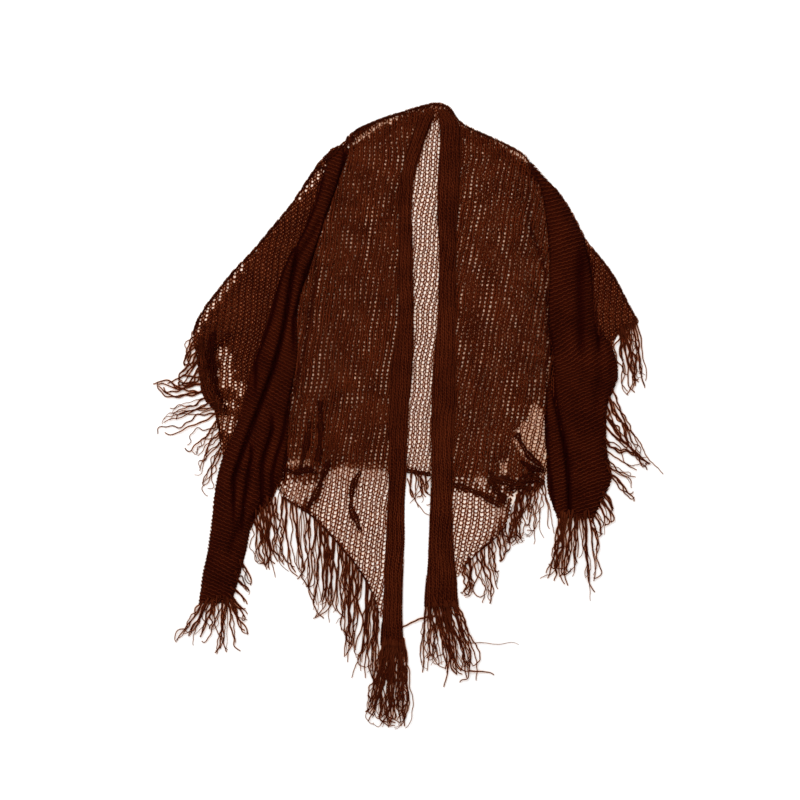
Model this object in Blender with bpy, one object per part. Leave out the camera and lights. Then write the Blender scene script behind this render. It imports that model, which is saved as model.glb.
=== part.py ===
"""A loosely knitted, fringed shawl laid out flat, as if it were worn open at the front.

The tables are in millimetres and the meshes in metres. X runs across the shawl, Y from
the tips of the fringe up to the neck and Z up from the surface that it lies on. The
origin is on that surface, under the middle of the shawl with its fringe.
"""

import math
import random
from bisect import bisect_right
from collections import namedtuple

import bmesh
import bpy
from mathutils import Vector

MM = 0.001

# Driving sizes, in millimetres.
CLOTH = 2.0
GAP = 0.3
SEAM = 0.8
LAYER = CLOTH + GAP
BACK_LENGTH = -74
HEM_EASE = 24
HEM_LEFT_SIDE = -82
HEM_RIGHT_SIDE = -90
EDGE_WALL = 1.8
PLEAT_PILE = 13.0
ROLL_HEIGHT = 5.0
WING_ROLL = 6.0
PANEL_SEAM = 0.6
SHOULDER_INSET = 1.0
LAYER_STEP = 9.0

# How the cloth's forms swell and fade: widths in millimetres, shares of a piece's width.
CREASE_FADE = 0.2
BACK_SIDE = 283
BACK_HEM_FADE = 100
BACK_SIDE_FADE = 40
WING_RIM = 10.0
WING_RIM_SHARE = 0.25
WING_COVER_GAP = 4.0
WING_COVER_FADE = 12.0
PLEAT_FULL_WIDTH = 45
PLEAT_CREASED_WIDTH = 40
PLEAT_ROUNDNESS = 0.7
MOST_RIDGE = 4.0
ROLL_FULL_WIDTH = 24
GROOVE_LEFT = 2.5
GROOVE_PLACE = 0.32
GROOVE_WIDTH = 0.14
GROOVE_TOP = 160
GROOVE_FADE = 80
PLEAT_FOOT = 3.0
PLEAT_FOOT_WIDTH = 0.14
PLEAT_FOOT_END = -40
PLEAT_FOOT_FADE = 60
JOINT_FADE = 22
SHOULDER_BLEND = 4.0

# Sizes of the fringe: a strip along the hem carries the strands.
STRIP_DEPTH = 4.0
STRIP_HEIGHT = 2.0
STRAND_WIDTH = 2.0
STRAND_HEIGHT = 1.6
STRAND_LIFT = 0.5
STRAND_PARTS = 4
TIP_SHARE = 0.55
SWAY_TURNS = 0.9
HEADING_STEP = 0.06
DRIFT = (0.1, 0.5)

# Spacing of the mesh, in millimetres.
ROW_STEP = 26
BACK_COLUMNS = 14
WING_COLUMNS = 10
FRONT_COLUMNS = 14
ROLL_COLUMNS = 6
ROLL_ROW_STEP = 34
PLEAT_COLUMNS = 19
JOINT_STEP = 6.0
ROW_CLEARANCE = 3.0
END_CLEARANCE = 2.0

YARN = (0.052, 0.016, 0.007, 1.0)
YARN_SHADE = (0.036, 0.011, 0.005, 1.0)
YARN_ROUGHNESS = 0.92

Section = namedtuple("Section", "y left right")
Crease = namedtuple("Crease", "depth width path")
Lock = namedtuple("Lock", "root bend tip")
Fringe = namedtuple("Fringe", "locks count wander")

# The back: one layer from the shoulders down to a straight hem.
BACK = (
    Section(537, 44, 58),
    Section(531, 20, 72),
    Section(522, -10, 79),
    Section(509, -47, 88),
    Section(496, -77, 108),
    Section(481, -98, 142),
    Section(464, -103, 177),
    Section(449, -108, 200),
    Section(434, -115, 211),
    Section(412, -125, 228),
    Section(392, -132, 240),
    Section(359, -143, 252),
    Section(309, -160, 264),
    Section(242, -188, 273),
    Section(176, -205, 279),
    Section(109, -217, 282),
    Section(42, -230, 283),
    Section(-24, -247, 283),
    Section(-74, -257, 283),
)

# The wings: the cloth beside the arms, as points (y, x) along their outer edges. Their
# inner edges meet the back under the pleats.
WING_LEFT = (
    (466, -114), (442, -142), (409, -165), (368, -192), (326, -227), (292, -255), (259, -287),
    (226, -313), (201, -333), (176, -348), (151, -357), (126, -350), (92, -345), (59, -341),
    (42, -334), (26, -320), (-8, -312), (-41, -307), (-61, -300),
)
WING_RIGHT = (
    (406, 237), (392, 252), (371, 267), (349, 280), (329, 290), (306, 302), (281, 323),
    (259, 340), (238, 353), (212, 366), (189, 378), (172, 387), (164, 372), (154, 353),
    (142, 347), (109, 341), (84, 344), (59, 341), (42, 331), (9, 327), (-24, 327),
    (-58, 330), (-80, 333),
)

# The long pleats that run from the shoulders down to the side hems.
PLEATS_LEFT = (
    Section(462, -117, -93),
    Section(434, -132, -102),
    Section(401, -145, -113),
    Section(359, -157, -128),
    Section(318, -173, -142),
    Section(284, -193, -152),
    Section(251, -207, -163),
    Section(209, -220, -177),
    Section(176, -230, -182),
    Section(142, -240, -180),
    Section(109, -253, -182),
    Section(76, -262, -187),
    Section(42, -270, -192),
    Section(9, -280, -195),
    Section(-24, -293, -197),
    Section(-58, -307, -202),
    Section(-91, -315, -210),
    Section(-124, -320, -224),
    Section(-149, -322, -247),
    Section(-174, -325, -260),
    Section(-208, -330, -266),
    Section(-241, -337, -275),
    Section(-274, -342, -284),
    Section(-296, -345, -295),
)
PLEATS_RIGHT = (
    Section(439, 205, 208),
    Section(418, 215, 226),
    Section(392, 225, 251),
    Section(368, 230, 267),
    Section(342, 233, 281),
    Section(318, 236, 294),
    Section(292, 238, 303),
    Section(268, 239, 310),
    Section(226, 238, 314),
    Section(184, 237, 319),
    Section(156, 238, 325),
    Section(139, 239, 338),
    Section(122, 240, 347),
    Section(101, 241, 352),
    Section(79, 239, 353),
    Section(59, 235, 345),
    Section(39, 232, 336),
    Section(9, 231, 333),
    Section(-24, 232, 333),
    Section(-58, 235, 337),
    Section(-88, 235, 342),
    Section(-111, 237, 334),
    Section(-132, 244, 323),
    Section(-154, 252, 313),
)

# The front edges, rolled up by the pull of the knit.
ROLL_LEFT = (
    Section(526, 33, 48),
    Section(512, 24, 45),
    Section(496, 16, 39),
    Section(476, 8, 31),
    Section(442, -2, 21),
    Section(409, -9, 12),
    Section(342, -12, 9),
    Section(276, -12, 11),
    Section(209, -12, 12),
    Section(142, -17, 12),
    Section(92, -25, 10),
    Section(42, -27, 5),
    Section(-24, -28, 2),
    Section(-74, -28, 0),
    Section(-124, -30, -2),
    Section(-191, -33, -3),
    Section(-258, -36, -6),
    Section(-308, -38, -7),
    Section(-344, -41, -6),
    Section(-366, -42, -5),
)
ROLL_RIGHT = (
    Section(526, 54, 67),
    Section(512, 55, 84),
    Section(496, 57, 90),
    Section(459, 57, 92),
    Section(426, 54, 90),
    Section(376, 53, 88),
    Section(342, 53, 85),
    Section(292, 56, 83),
    Section(226, 55, 83),
    Section(176, 53, 83),
    Section(134, 49, 82),
    Section(92, 45, 82),
    Section(42, 43, 82),
    Section(-24, 42, 80),
    Section(-91, 42, 77),
    Section(-158, 40, 77),
    Section(-224, 37, 80),
    Section(-258, 34, 84),
    Section(-301, 30, 87),
)

# The back's hem between its sides, as points (x, y) along it.
BACK_HEM = ((-257, -74), (-120, -68), (-20, -76), (0, -77), (42, -86), (90, -85), (283, -80))

# The slanting hems of the two fronts, as points (y, x) along them.
HEM_LEFT = (
    (-119, -207), (-131, -190), (-138, -177), (-146, -163), (-158, -150), (-174, -135), (-192, -118),
    (-211, -102), (-232, -85), (-258, -68), (-278, -57), (-299, -48), (-319, -43),
)
HEM_RIGHT = (
    (-98, 231), (-104, 215), (-111, 198), (-121, 183), (-138, 175), (-158, 170), (-179, 157),
    (-196, 140), (-209, 123), (-224, 107), (-238, 94), (-252, 86),
)

# Rows of the fronts above the hems' upper ends and below the hems' last points.
TOP_ROWS_LEFT = (520, 512, 505, 496, 488, 480, 472, 464, 458, 448)
TOP_ROWS_RIGHT = (508, 500, 490, 480, 470, 460, 450, 443, 439, 430)
HEM_ROWS_LEFT = (-225, -245, -268, -288, -309)
HEM_ROWS_RIGHT = (-148, -168, -188)

# Creases, each with its depth, its half width and points (y, x) along it. Ridges have
# a negative depth.
PLEAT_CREASES_LEFT = (
    Crease(
        9.0,
        6.0,
        (
            (330, -146), (284, -177), (242, -190), (176, -200),
            (109, -216), (42, -240), (-24, -265), (-88, -287),
        ),
    ),
    Crease(7.5, 6.0, ((-7, -223), (-33, -230), (-74, -240), (-124, -241), (-150, -252))),
    Crease(8.0, 6.0, ((-50, -257), (-82, -260), (-124, -268), (-158, -274), (-200, -292))),
    Crease(-3.0, 7.0, ((400, -128), (330, -160), (250, -204), (180, -226))),
)
PLEAT_CREASES_RIGHT = (
    Crease(8.5, 6.0, ((106, 243), (51, 247), (9, 256), (-41, 265), (-91, 271), (-154, 274))),
    Crease(3.5, 8.0, ((240, 286), (170, 290), (80, 296))),
    Crease(5.0, 7.0, ((210, 312), (150, 318), (90, 322), (30, 316))),
)
FRONT_CREASES_LEFT = (
    Crease(-3.5, 9.0, ((40, -142), (-20, -146), (-74, -141), (-120, -156))),
    Crease(-3.0, 8.0, ((10, -165), (-40, -170), (-90, -176), (-128, -186))),
    Crease(-2.0, 12.0, ((300, -120), (180, -128), (60, -125))),
    Crease(-2.0, 7.0, ((-88, -85), (-124, -93), (-160, -86), (-185, -78))),
)
FRONT_CREASES_RIGHT = (
    Crease(-3.0, 10.0, ((430, 188), (330, 205), (220, 214), (100, 212))),
    Crease(-2.5, 9.0, ((60, 130), (0, 133), (-60, 138), (-120, 144))),
    Crease(-4.0, 8.0, ((-66, 200), (-90, 196), (-112, 190))),
    Crease(-3.5, 9.0, ((-120, 160), (-160, 158), (-190, 140))),
)
WING_CREASES_LEFT = (
    Crease(-WING_ROLL, 14.0, ((150, -330), (120, -328), (80, -326), (50, -322), (20, -306))),
    Crease(-2.5, 12.0, ((240, -290), (180, -300), (140, -300))),
)
WING_CREASES_RIGHT = (Crease(-2.0, 14.0, ((300, 300), (230, 325), (180, 345))),)

# The fringe. Each lock gives where a strand starts, bends and ends, and the strands
# between two locks lie evenly between them.
FRINGE_TIP_LEFT = (
    Lock((-41, -370.7), (-50, -441), (-70, -488)),
    Lock((-35, -370.7), (-44, -449), (-62, -509)),
    Lock((-28, -370.7), (-36, -458), (-47, -521)),
    Lock((-21, -370.7), (-26, -466), (-31, -530)),
    Lock((-15, -370.7), (-17, -466), (-19, -518)),
    Lock((-9, -370.7), (-7, -449), (-9, -537)),
    Lock((-3, -370.7), (3, -441), (1, -519)),
)
FRINGE_TIP_RIGHT = (
    Lock((31, -305.6), (24, -366), (23, -414)),
    Lock((39, -305.6), (41, -374), (40, -411)),
    Lock((47, -305.6), (54, -374), (62, -436)),
    Lock((55, -305.6), (66, -366), (76, -428)),
    Lock((63, -305.6), (78, -374), (89, -431)),
    Lock((71, -305.6), (92, -374), (106, -433)),
    Lock((79, -305.6), (106, -384), (146, -416)),
    Lock((87, -305.6), (120, -350), (188, -366)),
)
FRINGE_FRONT_LEFT = (
    Lock((-206, -127), (-198, -199), (-181, -286)),
    Lock((-178, -143.5), (-177, -208), (-167, -278)),
    Lock((-152, -164), (-152, -232), (-153, -319)),
    Lock((-137, -179.5), (-137, -249), (-141, -324)),
    Lock((-120, -197.5), (-125, -266), (-128, -338)),
    Lock((-104, -216.5), (-108, -291), (-98, -372)),
    Lock((-87, -237.5), (-85, -308), (-98, -404)),
    Lock((-70, -263.5), (-71, -341), (-83, -418)),
    Lock((-55, -294), (-59, -368), (-70, -454)),
    Lock((-47, -323), (-50, -374), (-55, -441)),
)
FRINGE_PLEATS_LEFT = (
    Lock((-255.5, -178), (-251, -208), (-242, -238)),
    Lock((-247, -158), (-240, -204), (-230, -258)),
    Lock((-237, -145), (-230, -199), (-222, -266)),
    Lock((-225, -133), (-218, -191), (-210, -244)),
    Lock((-215, -127), (-205, -199), (-192, -274)),
)
FRINGE_SIDE_LEFT = (
    Lock((-345, -301.5), (-362, -341), (-398, -374)),
    Lock((-335, -301.5), (-351, -341), (-375, -362)),
    Lock((-325, -301.5), (-336, -338), (-347, -366)),
    Lock((-313, -301.5), (-318, -328), (-323, -351)),
    Lock((-303, -301.5), (-306, -358), (-314, -408)),
    Lock((-292, -301.5), (-287, -330), (-262, -371)),
    Lock((-284, -293), (-275, -303), (-264, -316)),
    Lock((-276, -262), (-267, -272), (-263, -284)),
    Lock((-266, -234), (-258, -251), (-247, -268)),
)
FRINGE_WING_LEFT = (
    Lock((-361, 142), (-368, 126), (-366, 106)),
    Lock((-356, 120), (-373, 104), (-377, 80)),
    Lock((-350.5, 94), (-367, 74), (-381, 60)),
    Lock((-347, 62), (-378, 45), (-426.5, 78)),
    Lock((-339, 40), (-362, 24), (-394, 18)),
    Lock((-325, 23), (-363, 8), (-423, -1)),
    Lock((-318, -4), (-341, -34), (-360, -58)),
    Lock((-314, -37), (-333, -74), (-352, -94)),
    Lock((-312.5, -60), (-328, -108), (-335, -149)),
)
FRINGE_WING_RIGHT = (
    Lock((385, 164.5), (398, 112), (408, 39)),
    Lock((377, 160.5), (390, 106), (396, 42)),
    Lock((369, 156.5), (382, 96), (385, 49)),
    Lock((361, 152.5), (373, 89), (373, 36)),
    Lock((355.5, 148), (363, 124), (361, 99)),
)
FRINGE_PLEATS_RIGHT = (
    Lock((348.5, 54), (368, -2), (396, -58)),
    Lock((339.5, 28), (360, -19), (386, -62)),
    Lock((338, -18), (366, -50), (426.5, -80)),
    Lock((342, -62), (366, -82), (392, -98)),
    Lock((347.5, -90), (365, -113), (385, -138)),
)
FRINGE_FRONT_RIGHT = (
    Lock((227, -104.5), (225, -158), (200, -212)),
    Lock((213, -110.5), (212, -132), (203, -156)),
    Lock((197, -118), (193, -158), (192, -204)),
    Lock((186, -125), (185, -166), (184, -204)),
    Lock((178, -158), (180, -182), (174, -206)),
    Lock((165, -182), (168, -204), (161, -222)),
    Lock((146, -200), (152, -232), (156, -258)),
    Lock((127, -215), (131, -266), (153, -320)),
    Lock((111, -229.5), (115, -262), (110, -291)),
    Lock((97, -245), (99, -266), (97, -290)),
)
FRINGE_SIDE_RIGHT = (
    Lock((253, -158.7), (238, -205), (218, -268)),
    Lock((264, -158.7), (259, -216), (250, -261)),
    Lock((276, -158.7), (270, -224), (268, -281)),
    Lock((288, -158.7), (285, -208), (287, -249)),
    Lock((300, -158.7), (303, -224), (313, -296)),
    Lock((316, -160), (324, -176), (322, -198)),
    Lock((330, -140), (338, -151), (337, -171)),
    Lock((339, -119), (348, -128), (350, -144)),
)
FRINGE_BACK = (
    Lock((6, -83), (3, -108), (5, -141)),
    Lock((14, -84.7), (17, -103), (15, -124)),
    Lock((22, -86.5), (23, -118), (35, -149)),
    Lock((33, -88.8), (35, -98), (37, -114)),
)

# Each fringe with its number of strands and how far they wander sideways.
FRINGES = {
    "fringe_tip_left": Fringe(FRINGE_TIP_LEFT, 13, 1.2),
    "fringe_tip_right": Fringe(FRINGE_TIP_RIGHT, 15, 2.0),
    "fringe_front_left": Fringe(FRINGE_FRONT_LEFT, 28, 3.0),
    "fringe_pleats_left": Fringe(FRINGE_PLEATS_LEFT, 9, 2.0),
    "fringe_side_left": Fringe(FRINGE_SIDE_LEFT, 17, 2.0),
    "fringe_wing_left": Fringe(FRINGE_WING_LEFT, 17, 2.0),
    "fringe_wing_right": Fringe(FRINGE_WING_RIGHT, 9, 2.0),
    "fringe_pleats_right": Fringe(FRINGE_PLEATS_RIGHT, 9, 2.0),
    "fringe_front_right": Fringe(FRINGE_FRONT_RIGHT, 19, 2.0),
    "fringe_side_right": Fringe(FRINGE_SIDE_RIGHT, 22, 2.0),
    "fringe_back": Fringe(FRINGE_BACK, 4, 1.0),
}


class Line:
    """A smooth line through a few points (position, value) that never overshoots them."""

    def __init__(self, points):
        points = sorted(points)
        self.at = [p[0] for p in points]
        self.value = [p[1] for p in points]
        steps = [
            (b - a) / (t - s)
            for a, b, s, t in zip(self.value, self.value[1:], self.at, self.at[1:])
        ]
        inner = [0.0 if a * b <= 0 else 2 * a * b / (a + b) for a, b in zip(steps, steps[1:])]
        self.slope = [steps[0], *inner, steps[-1]]

    def __call__(self, at):
        at = min(max(at, self.at[0]), self.at[-1])
        i = min(max(bisect_right(self.at, at) - 1, 0), len(self.at) - 2)
        span = self.at[i + 1] - self.at[i]
        t = (at - self.at[i]) / span
        start = self.value[i] * (1 + 2 * t) + self.slope[i] * span * t
        end = self.value[i + 1] * (3 - 2 * t) - self.slope[i + 1] * span * (1 - t)
        return start * (1 - t) ** 2 + end * t**2


def smooth(value):
    """0 up to 0 and 1 from 1, with a soft step between."""
    value = min(max(value, 0.0), 1.0)
    return value * value * (3 - 2 * value)


def edge_lines(sections):
    left = Line([(s.y, s.left) for s in sections])
    right = Line([(s.y, s.right) for s in sections])
    return left, right


def rows_of(sections, step=ROW_STEP):
    """The table's own heights, with rows between those that lie further apart than step."""
    rows = []
    for upper, lower in zip(sections, sections[1:]):
        parts = max(1, math.ceil((upper.y - lower.y) / step))
        rows += [upper.y + (lower.y - upper.y) * k / parts for k in range(parts)]
    return sorted([*rows, sections[-1].y])


def between(rows, low, high):
    return [low, *[y for y in rows if low + END_CLEARANCE < y < high - END_CLEARANCE], high]


def crease_depth(creases, x, y):
    """How far the creases press the cloth down at a point."""
    depth = 0.0
    for crease in creases:
        ys = [p[0] for p in crease.path]
        reach = CREASE_FADE * (max(ys) - min(ys))
        fade = smooth((y - min(ys) + reach) / reach) * smooth((max(ys) + reach - y) / reach)
        away = (x - Line(crease.path)(y)) / crease.width
        depth += crease.depth * fade * math.exp(-away * away)
    return depth


def over_hem(hem, y):
    """Height of an upper layer's underside: on the cloth below it, then eased down to the floor."""
    return LAYER * smooth((y - hem + HEM_EASE) / HEM_EASE)


def with_hem_rows(rows, hem):
    """Rows where an upper layer starts to ease down past a hem, half way down and at the floor."""
    eased = [hem - HEM_EASE * share for share in (0, 0.5, 1)]
    return sorted([y for y in rows if min(abs(y - e) for e in eased) > ROW_CLEARANCE] + eased)


def layered(height, inset):
    """A rounded edge that climbs in steps of one layer of cloth."""
    steps = inset / LAYER_STEP
    whole = math.floor(steps)
    climb = CLOTH * (whole + smooth((steps - whole) * 2)) + EDGE_WALL
    return min(height, climb)


def yarn_material(name, colour):
    material = bpy.data.materials.new(name)
    material.use_nodes = True
    shader = material.node_tree.nodes["Principled BSDF"]
    shader.inputs["Base Color"].default_value = colour
    shader.inputs["Roughness"].default_value = YARN_ROUGHNESS
    shader.inputs["Metallic"].default_value = 0.0
    return material


def add_object(name, bm, collection, parent, material):
    bmesh.ops.recalc_face_normals(bm, faces=bm.faces)
    mesh = bpy.data.meshes.new(name)
    bm.to_mesh(mesh)
    bm.free()
    mesh.materials.append(material)
    mesh.shade_smooth()
    obj = bpy.data.objects.new(name, mesh)
    collection.objects.link(obj)
    obj.parent = parent
    return obj


def cloth_mesh(rows, columns, left, right, underside, topside, tilt=None):
    """A closed piece of cloth over rows of y, between two edges, from underside up to topside."""
    bm = bmesh.new()
    bmesh.ops.create_grid(bm, x_segments=columns, y_segments=len(rows) - 1, size=0.5)
    for vert in bm.verts:
        across = vert.co.x + 0.5
        y = rows[round((vert.co.y + 0.5) * (len(rows) - 1))]
        x = left(y) + across * (right(y) - left(y))
        if tilt:
            y += tilt(x, y)
        vert.co = Vector((x, y, topside(x, y, across)))
    upper = bmesh.ops.extrude_face_region(bm, geom=bm.faces[:])
    for vert in [v for v in upper["geom"] if isinstance(v, bmesh.types.BMVert)]:
        vert.co.z = underside(vert.co.x, vert.co.y)
    bmesh.ops.scale(bm, vec=Vector((MM, MM, MM)), verts=bm.verts)
    return bm


def back_mesh():
    left, right = edge_lines(BACK)
    hem = Line(BACK_HEM)

    def drop(x, y):
        near_hem = smooth((BACK_LENGTH + BACK_HEM_FADE - y) / BACK_HEM_FADE)
        inside = smooth((BACK_SIDE - abs(x)) / BACK_SIDE_FADE)
        return (hem(x) - BACK_LENGTH) * near_hem * inside

    return cloth_mesh(
        rows_of(BACK), BACK_COLUMNS, left, right, lambda x, y: 0.0, lambda x, y, across: CLOTH, drop
    )


def wing_mesh(outline, side, pleats, creases):
    """One wing, from the back's edge out to its own. side is -1 on the left and 1 on the right."""
    cover = edge_lines(pleats)[side > 0]
    seam = edge_lines(BACK)[side > 0]
    outer = Line(outline)

    def inner(y):
        return seam(y) + side * SEAM

    def topside(x, y, across):
        rise = -crease_depth(creases, x, y)
        from_rim = WING_RIM_SHARE + (1 - WING_RIM_SHARE) * smooth(abs(x - outer(y)) / WING_RIM)
        from_pleats = smooth((side * (x - cover(y)) - WING_COVER_GAP) / WING_COVER_FADE)
        return CLOTH + max(rise, 0.0) * from_rim * from_pleats

    low, high = outline[-1][0], outline[0][0]
    rows = between(sorted({*rows_of(BACK), *[p[0] for p in outline]}), low, high)
    edges = (outer, inner) if side < 0 else (inner, outer)
    return cloth_mesh(rows, WING_COLUMNS, *edges, lambda x, y: 0.0, topside)


def pleats_mesh(sections, creases, hem):
    """A pile of pleats: a rounded solid with its creases on top, in layers at its hem."""
    left, right = edge_lines(sections)
    low, high = sections[-1].y, sections[0].y
    rows = with_hem_rows(between(rows_of(sections), low, high), hem)
    rows += [low + LAYER_STEP * share for share in (0.5, 1, 1.5, 2)]

    def underside(x, y):
        return over_hem(hem, y)

    def topside(x, y, across):
        width = right(y) - left(y)
        bulge = math.sin(math.pi * min(max(across, 0), 1)) ** PLEAT_ROUNDNESS
        crown = PLEAT_PILE * min(1.0, width / PLEAT_FULL_WIDTH) * bulge
        pressed = max(crease_depth(creases, x, y), -MOST_RIDGE)
        height = crown - pressed * smooth(width / PLEAT_CREASED_WIDTH)
        inset = min(y - low, high - y)
        return underside(x, y) + max(layered(EDGE_WALL + height, inset), EDGE_WALL)

    return cloth_mesh(sorted(rows), PLEAT_COLUMNS, left, right, underside, topside)


def roll_mesh(sections, hem, groove):
    """A front edge, rolled into a flat tube."""
    left, right = edge_lines(sections)

    def underside(x, y):
        return over_hem(hem, y)

    def topside(x, y, across):
        round_top = math.sqrt(max(0.0, 1 - (2 * across - 1) ** 2))
        narrow = smooth((right(y) - left(y)) / ROLL_FULL_WIDTH)
        away = (across - GROOVE_PLACE) / GROOVE_WIDTH
        dip = groove * math.exp(-away * away) * smooth((GROOVE_TOP - y) / GROOVE_FADE)
        return underside(x, y) + EDGE_WALL + (ROLL_HEIGHT * round_top - dip) * narrow

    rows = with_hem_rows(rows_of(sections, ROLL_ROW_STEP), hem)
    return cloth_mesh(rows, ROLL_COLUMNS, left, right, underside, topside)


def front_mesh(outer, inner, hem_line, back_hem, creases, rows, outer_on_left):
    """A front panel between the pleats and the rolled edge, down to its slanting hem."""

    def underside(x, y):
        return over_hem(back_hem, y)

    def topside(x, y, across):
        from_pleats = across if outer_on_left else 1 - across
        beside = 1 - smooth(from_pleats / PLEAT_FOOT_WIDTH)
        rise = PLEAT_FOOT * beside * smooth((y - PLEAT_FOOT_END) / PLEAT_FOOT_FADE)
        return underside(x, y) + CLOTH + rise - min(crease_depth(creases, x, y), 0.0)

    def meeting(y):
        return hem_line(y) if y <= hem_line.at[-1] else outer(y)

    edges = (meeting, inner) if outer_on_left else (inner, meeting)
    rows = with_hem_rows(rows, back_hem)
    return cloth_mesh(rows, FRONT_COLUMNS, *edges, underside, topside)


def front_rows(top, pleats, hem, lower):
    """Rows of a front: shared with the pleats beside it, closer at its top and along its hem."""
    joint = hem[0][0]
    shared = [y for y in rows_of(pleats) if joint + 2 * JOINT_STEP < y < top[-1] - JOINT_STEP]
    return sorted({*top, *shared, joint + JOINT_STEP, *[p[0] for p in hem], *lower})


def front_left_mesh():
    hem = Line(HEM_LEFT)
    pleat_edge = edge_lines(PLEATS_LEFT)[1]
    roll_edge = edge_lines(ROLL_LEFT)[0]
    shoulder = edge_lines(BACK)[0]
    joint = HEM_LEFT[0][0]

    def outer(y):
        beside = pleat_edge(y) + PANEL_SEAM
        top = shoulder(y) + SHOULDER_INSET
        if y >= PLEATS_LEFT[0].y + SHOULDER_BLEND:
            return top
        if y <= PLEATS_LEFT[0].y - SHOULDER_BLEND:
            top = beside
        blend = smooth((joint + JOINT_FADE - y) / JOINT_FADE)
        return max(beside, top) * (1 - blend) + HEM_LEFT[0][1] * blend

    def inner(y):
        return roll_edge(y) - PANEL_SEAM

    rows = front_rows(TOP_ROWS_LEFT, PLEATS_LEFT, HEM_LEFT, HEM_ROWS_LEFT)
    return front_mesh(outer, inner, hem, HEM_LEFT_SIDE, FRONT_CREASES_LEFT, rows, True)


def front_right_mesh():
    hem = Line(HEM_RIGHT)
    pleat_edge = edge_lines(PLEATS_RIGHT)[0]
    roll_edge = edge_lines(ROLL_RIGHT)[1]
    shoulder = edge_lines(BACK)[1]
    joint = HEM_RIGHT[0][0]

    def outer(y):
        beside = pleat_edge(y) - PANEL_SEAM
        top = shoulder(y) - SHOULDER_INSET
        if y >= PLEATS_RIGHT[0].y + SHOULDER_BLEND:
            return top
        if y <= PLEATS_RIGHT[0].y - SHOULDER_BLEND:
            top = beside
        blend = smooth((joint + JOINT_FADE - y) / JOINT_FADE)
        return min(beside, top) * (1 - blend) + HEM_RIGHT[0][1] * blend

    def inner(y):
        return roll_edge(y) + PANEL_SEAM

    rows = front_rows(TOP_ROWS_RIGHT, PLEATS_RIGHT, HEM_RIGHT, HEM_ROWS_RIGHT)
    return front_mesh(outer, inner, hem, HEM_RIGHT_SIDE, FRONT_CREASES_RIGHT, rows, False)


def strand_paths(locks, count, wander, seed):
    """Root, bend and tip of each strand, spread evenly along the locks."""
    columns = zip(*[(*lock.root, *lock.bend, *lock.tip) for lock in locks])
    spread = [Line(list(enumerate(column))) for column in columns]
    rng = random.Random(seed)
    drift = rng.uniform(0, math.tau)
    for i in range(count):
        along = i * (len(locks) - 1) / (count - 1)
        numbers = [line(along) for line in spread]
        drift += rng.uniform(*DRIFT)
        yield [Vector(numbers[k : k + 2]) for k in (0, 2, 4)], wander * math.sin(drift)


def strand_point(path, sway, along):
    """A point along a strand: a parabola through root, bend and tip, with a slow sway."""
    root, bend, tip = path
    point = root * (2 * along - 1) * (along - 1)
    point += bend * 4 * along * (1 - along)
    point += tip * along * (2 * along - 1)
    side = (tip - root).orthogonal().normalized()
    return point + side * sway * along * math.sin(math.tau * SWAY_TURNS * along)


def strip_mesh(paths):
    """The strip along the strands' roots. The outer side has one face for each strand."""
    roots = [path[0] for path, _ in paths]
    stations = []
    for i, root in enumerate(roots):
        ahead = roots[min(i + 1, len(roots) - 1)] - roots[max(i - 1, 0)]
        along = ahead.normalized()
        out = Vector((along.y, -along.x))
        if out.dot(paths[i][0][1] - root) < 0:
            out = -out
        stations += [(root + along * side * STRAND_WIDTH / 2, out) for side in (-1, 1)]
    bm = bmesh.new()
    bmesh.ops.create_grid(bm, x_segments=len(stations) - 1, y_segments=1, size=0.5)
    for vert in bm.verts:
        place, out = stations[round((vert.co.x + 0.5) * (len(stations) - 1))]
        inward = STRIP_DEPTH if vert.co.y < 0 else 0.0
        vert.co = (place - out * inward).to_3d() + Vector((0, 0, STRIP_HEIGHT))
    lower = bmesh.ops.extrude_face_region(bm, geom=bm.faces[:])
    for vert in [v for v in lower["geom"] if isinstance(v, bmesh.types.BMVert)]:
        vert.co.z = 0.0
    return bm


def grow_strand(bm, face, path, sway):
    """Draws one face of the strip out into a strand that ends just above the floor."""
    for part in range(1, STRAND_PARTS + 1):
        along = part / STRAND_PARTS
        here = strand_point(path, sway, along)
        heading = (here - strand_point(path, sway, along - HEADING_STEP)).normalized()
        across = Vector((-heading.y, heading.x, 0))
        face = bmesh.ops.extrude_discrete_faces(bm, faces=[face])["faces"][0]
        middle = face.calc_center_median()
        share = 1.0 if part < STRAND_PARTS else TIP_SHARE
        height = STRAND_LIFT + STRAND_HEIGHT / 2
        for vert in face.verts:
            offset = vert.co - middle
            sideways = math.copysign(STRAND_WIDTH / 2 * share, offset.dot(across))
            upward = math.copysign(STRAND_HEIGHT / 2 * share, offset.z)
            vert.co = here.to_3d() + across * sideways + Vector((0, 0, height + upward))


def fringe_mesh(locks, count, wander, seed):
    paths = list(strand_paths(locks, count, wander, seed))
    bm = strip_mesh(paths)
    for path, sway in paths:
        root = path[0].to_3d() + Vector((0, 0, STRIP_HEIGHT / 2))
        face = min(bm.faces, key=lambda f: (f.calc_center_median() - root).length)
        grow_strand(bm, face, path, sway)
    bmesh.ops.scale(bm, vec=Vector((MM, MM, MM)), verts=bm.verts)
    return bm


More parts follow.
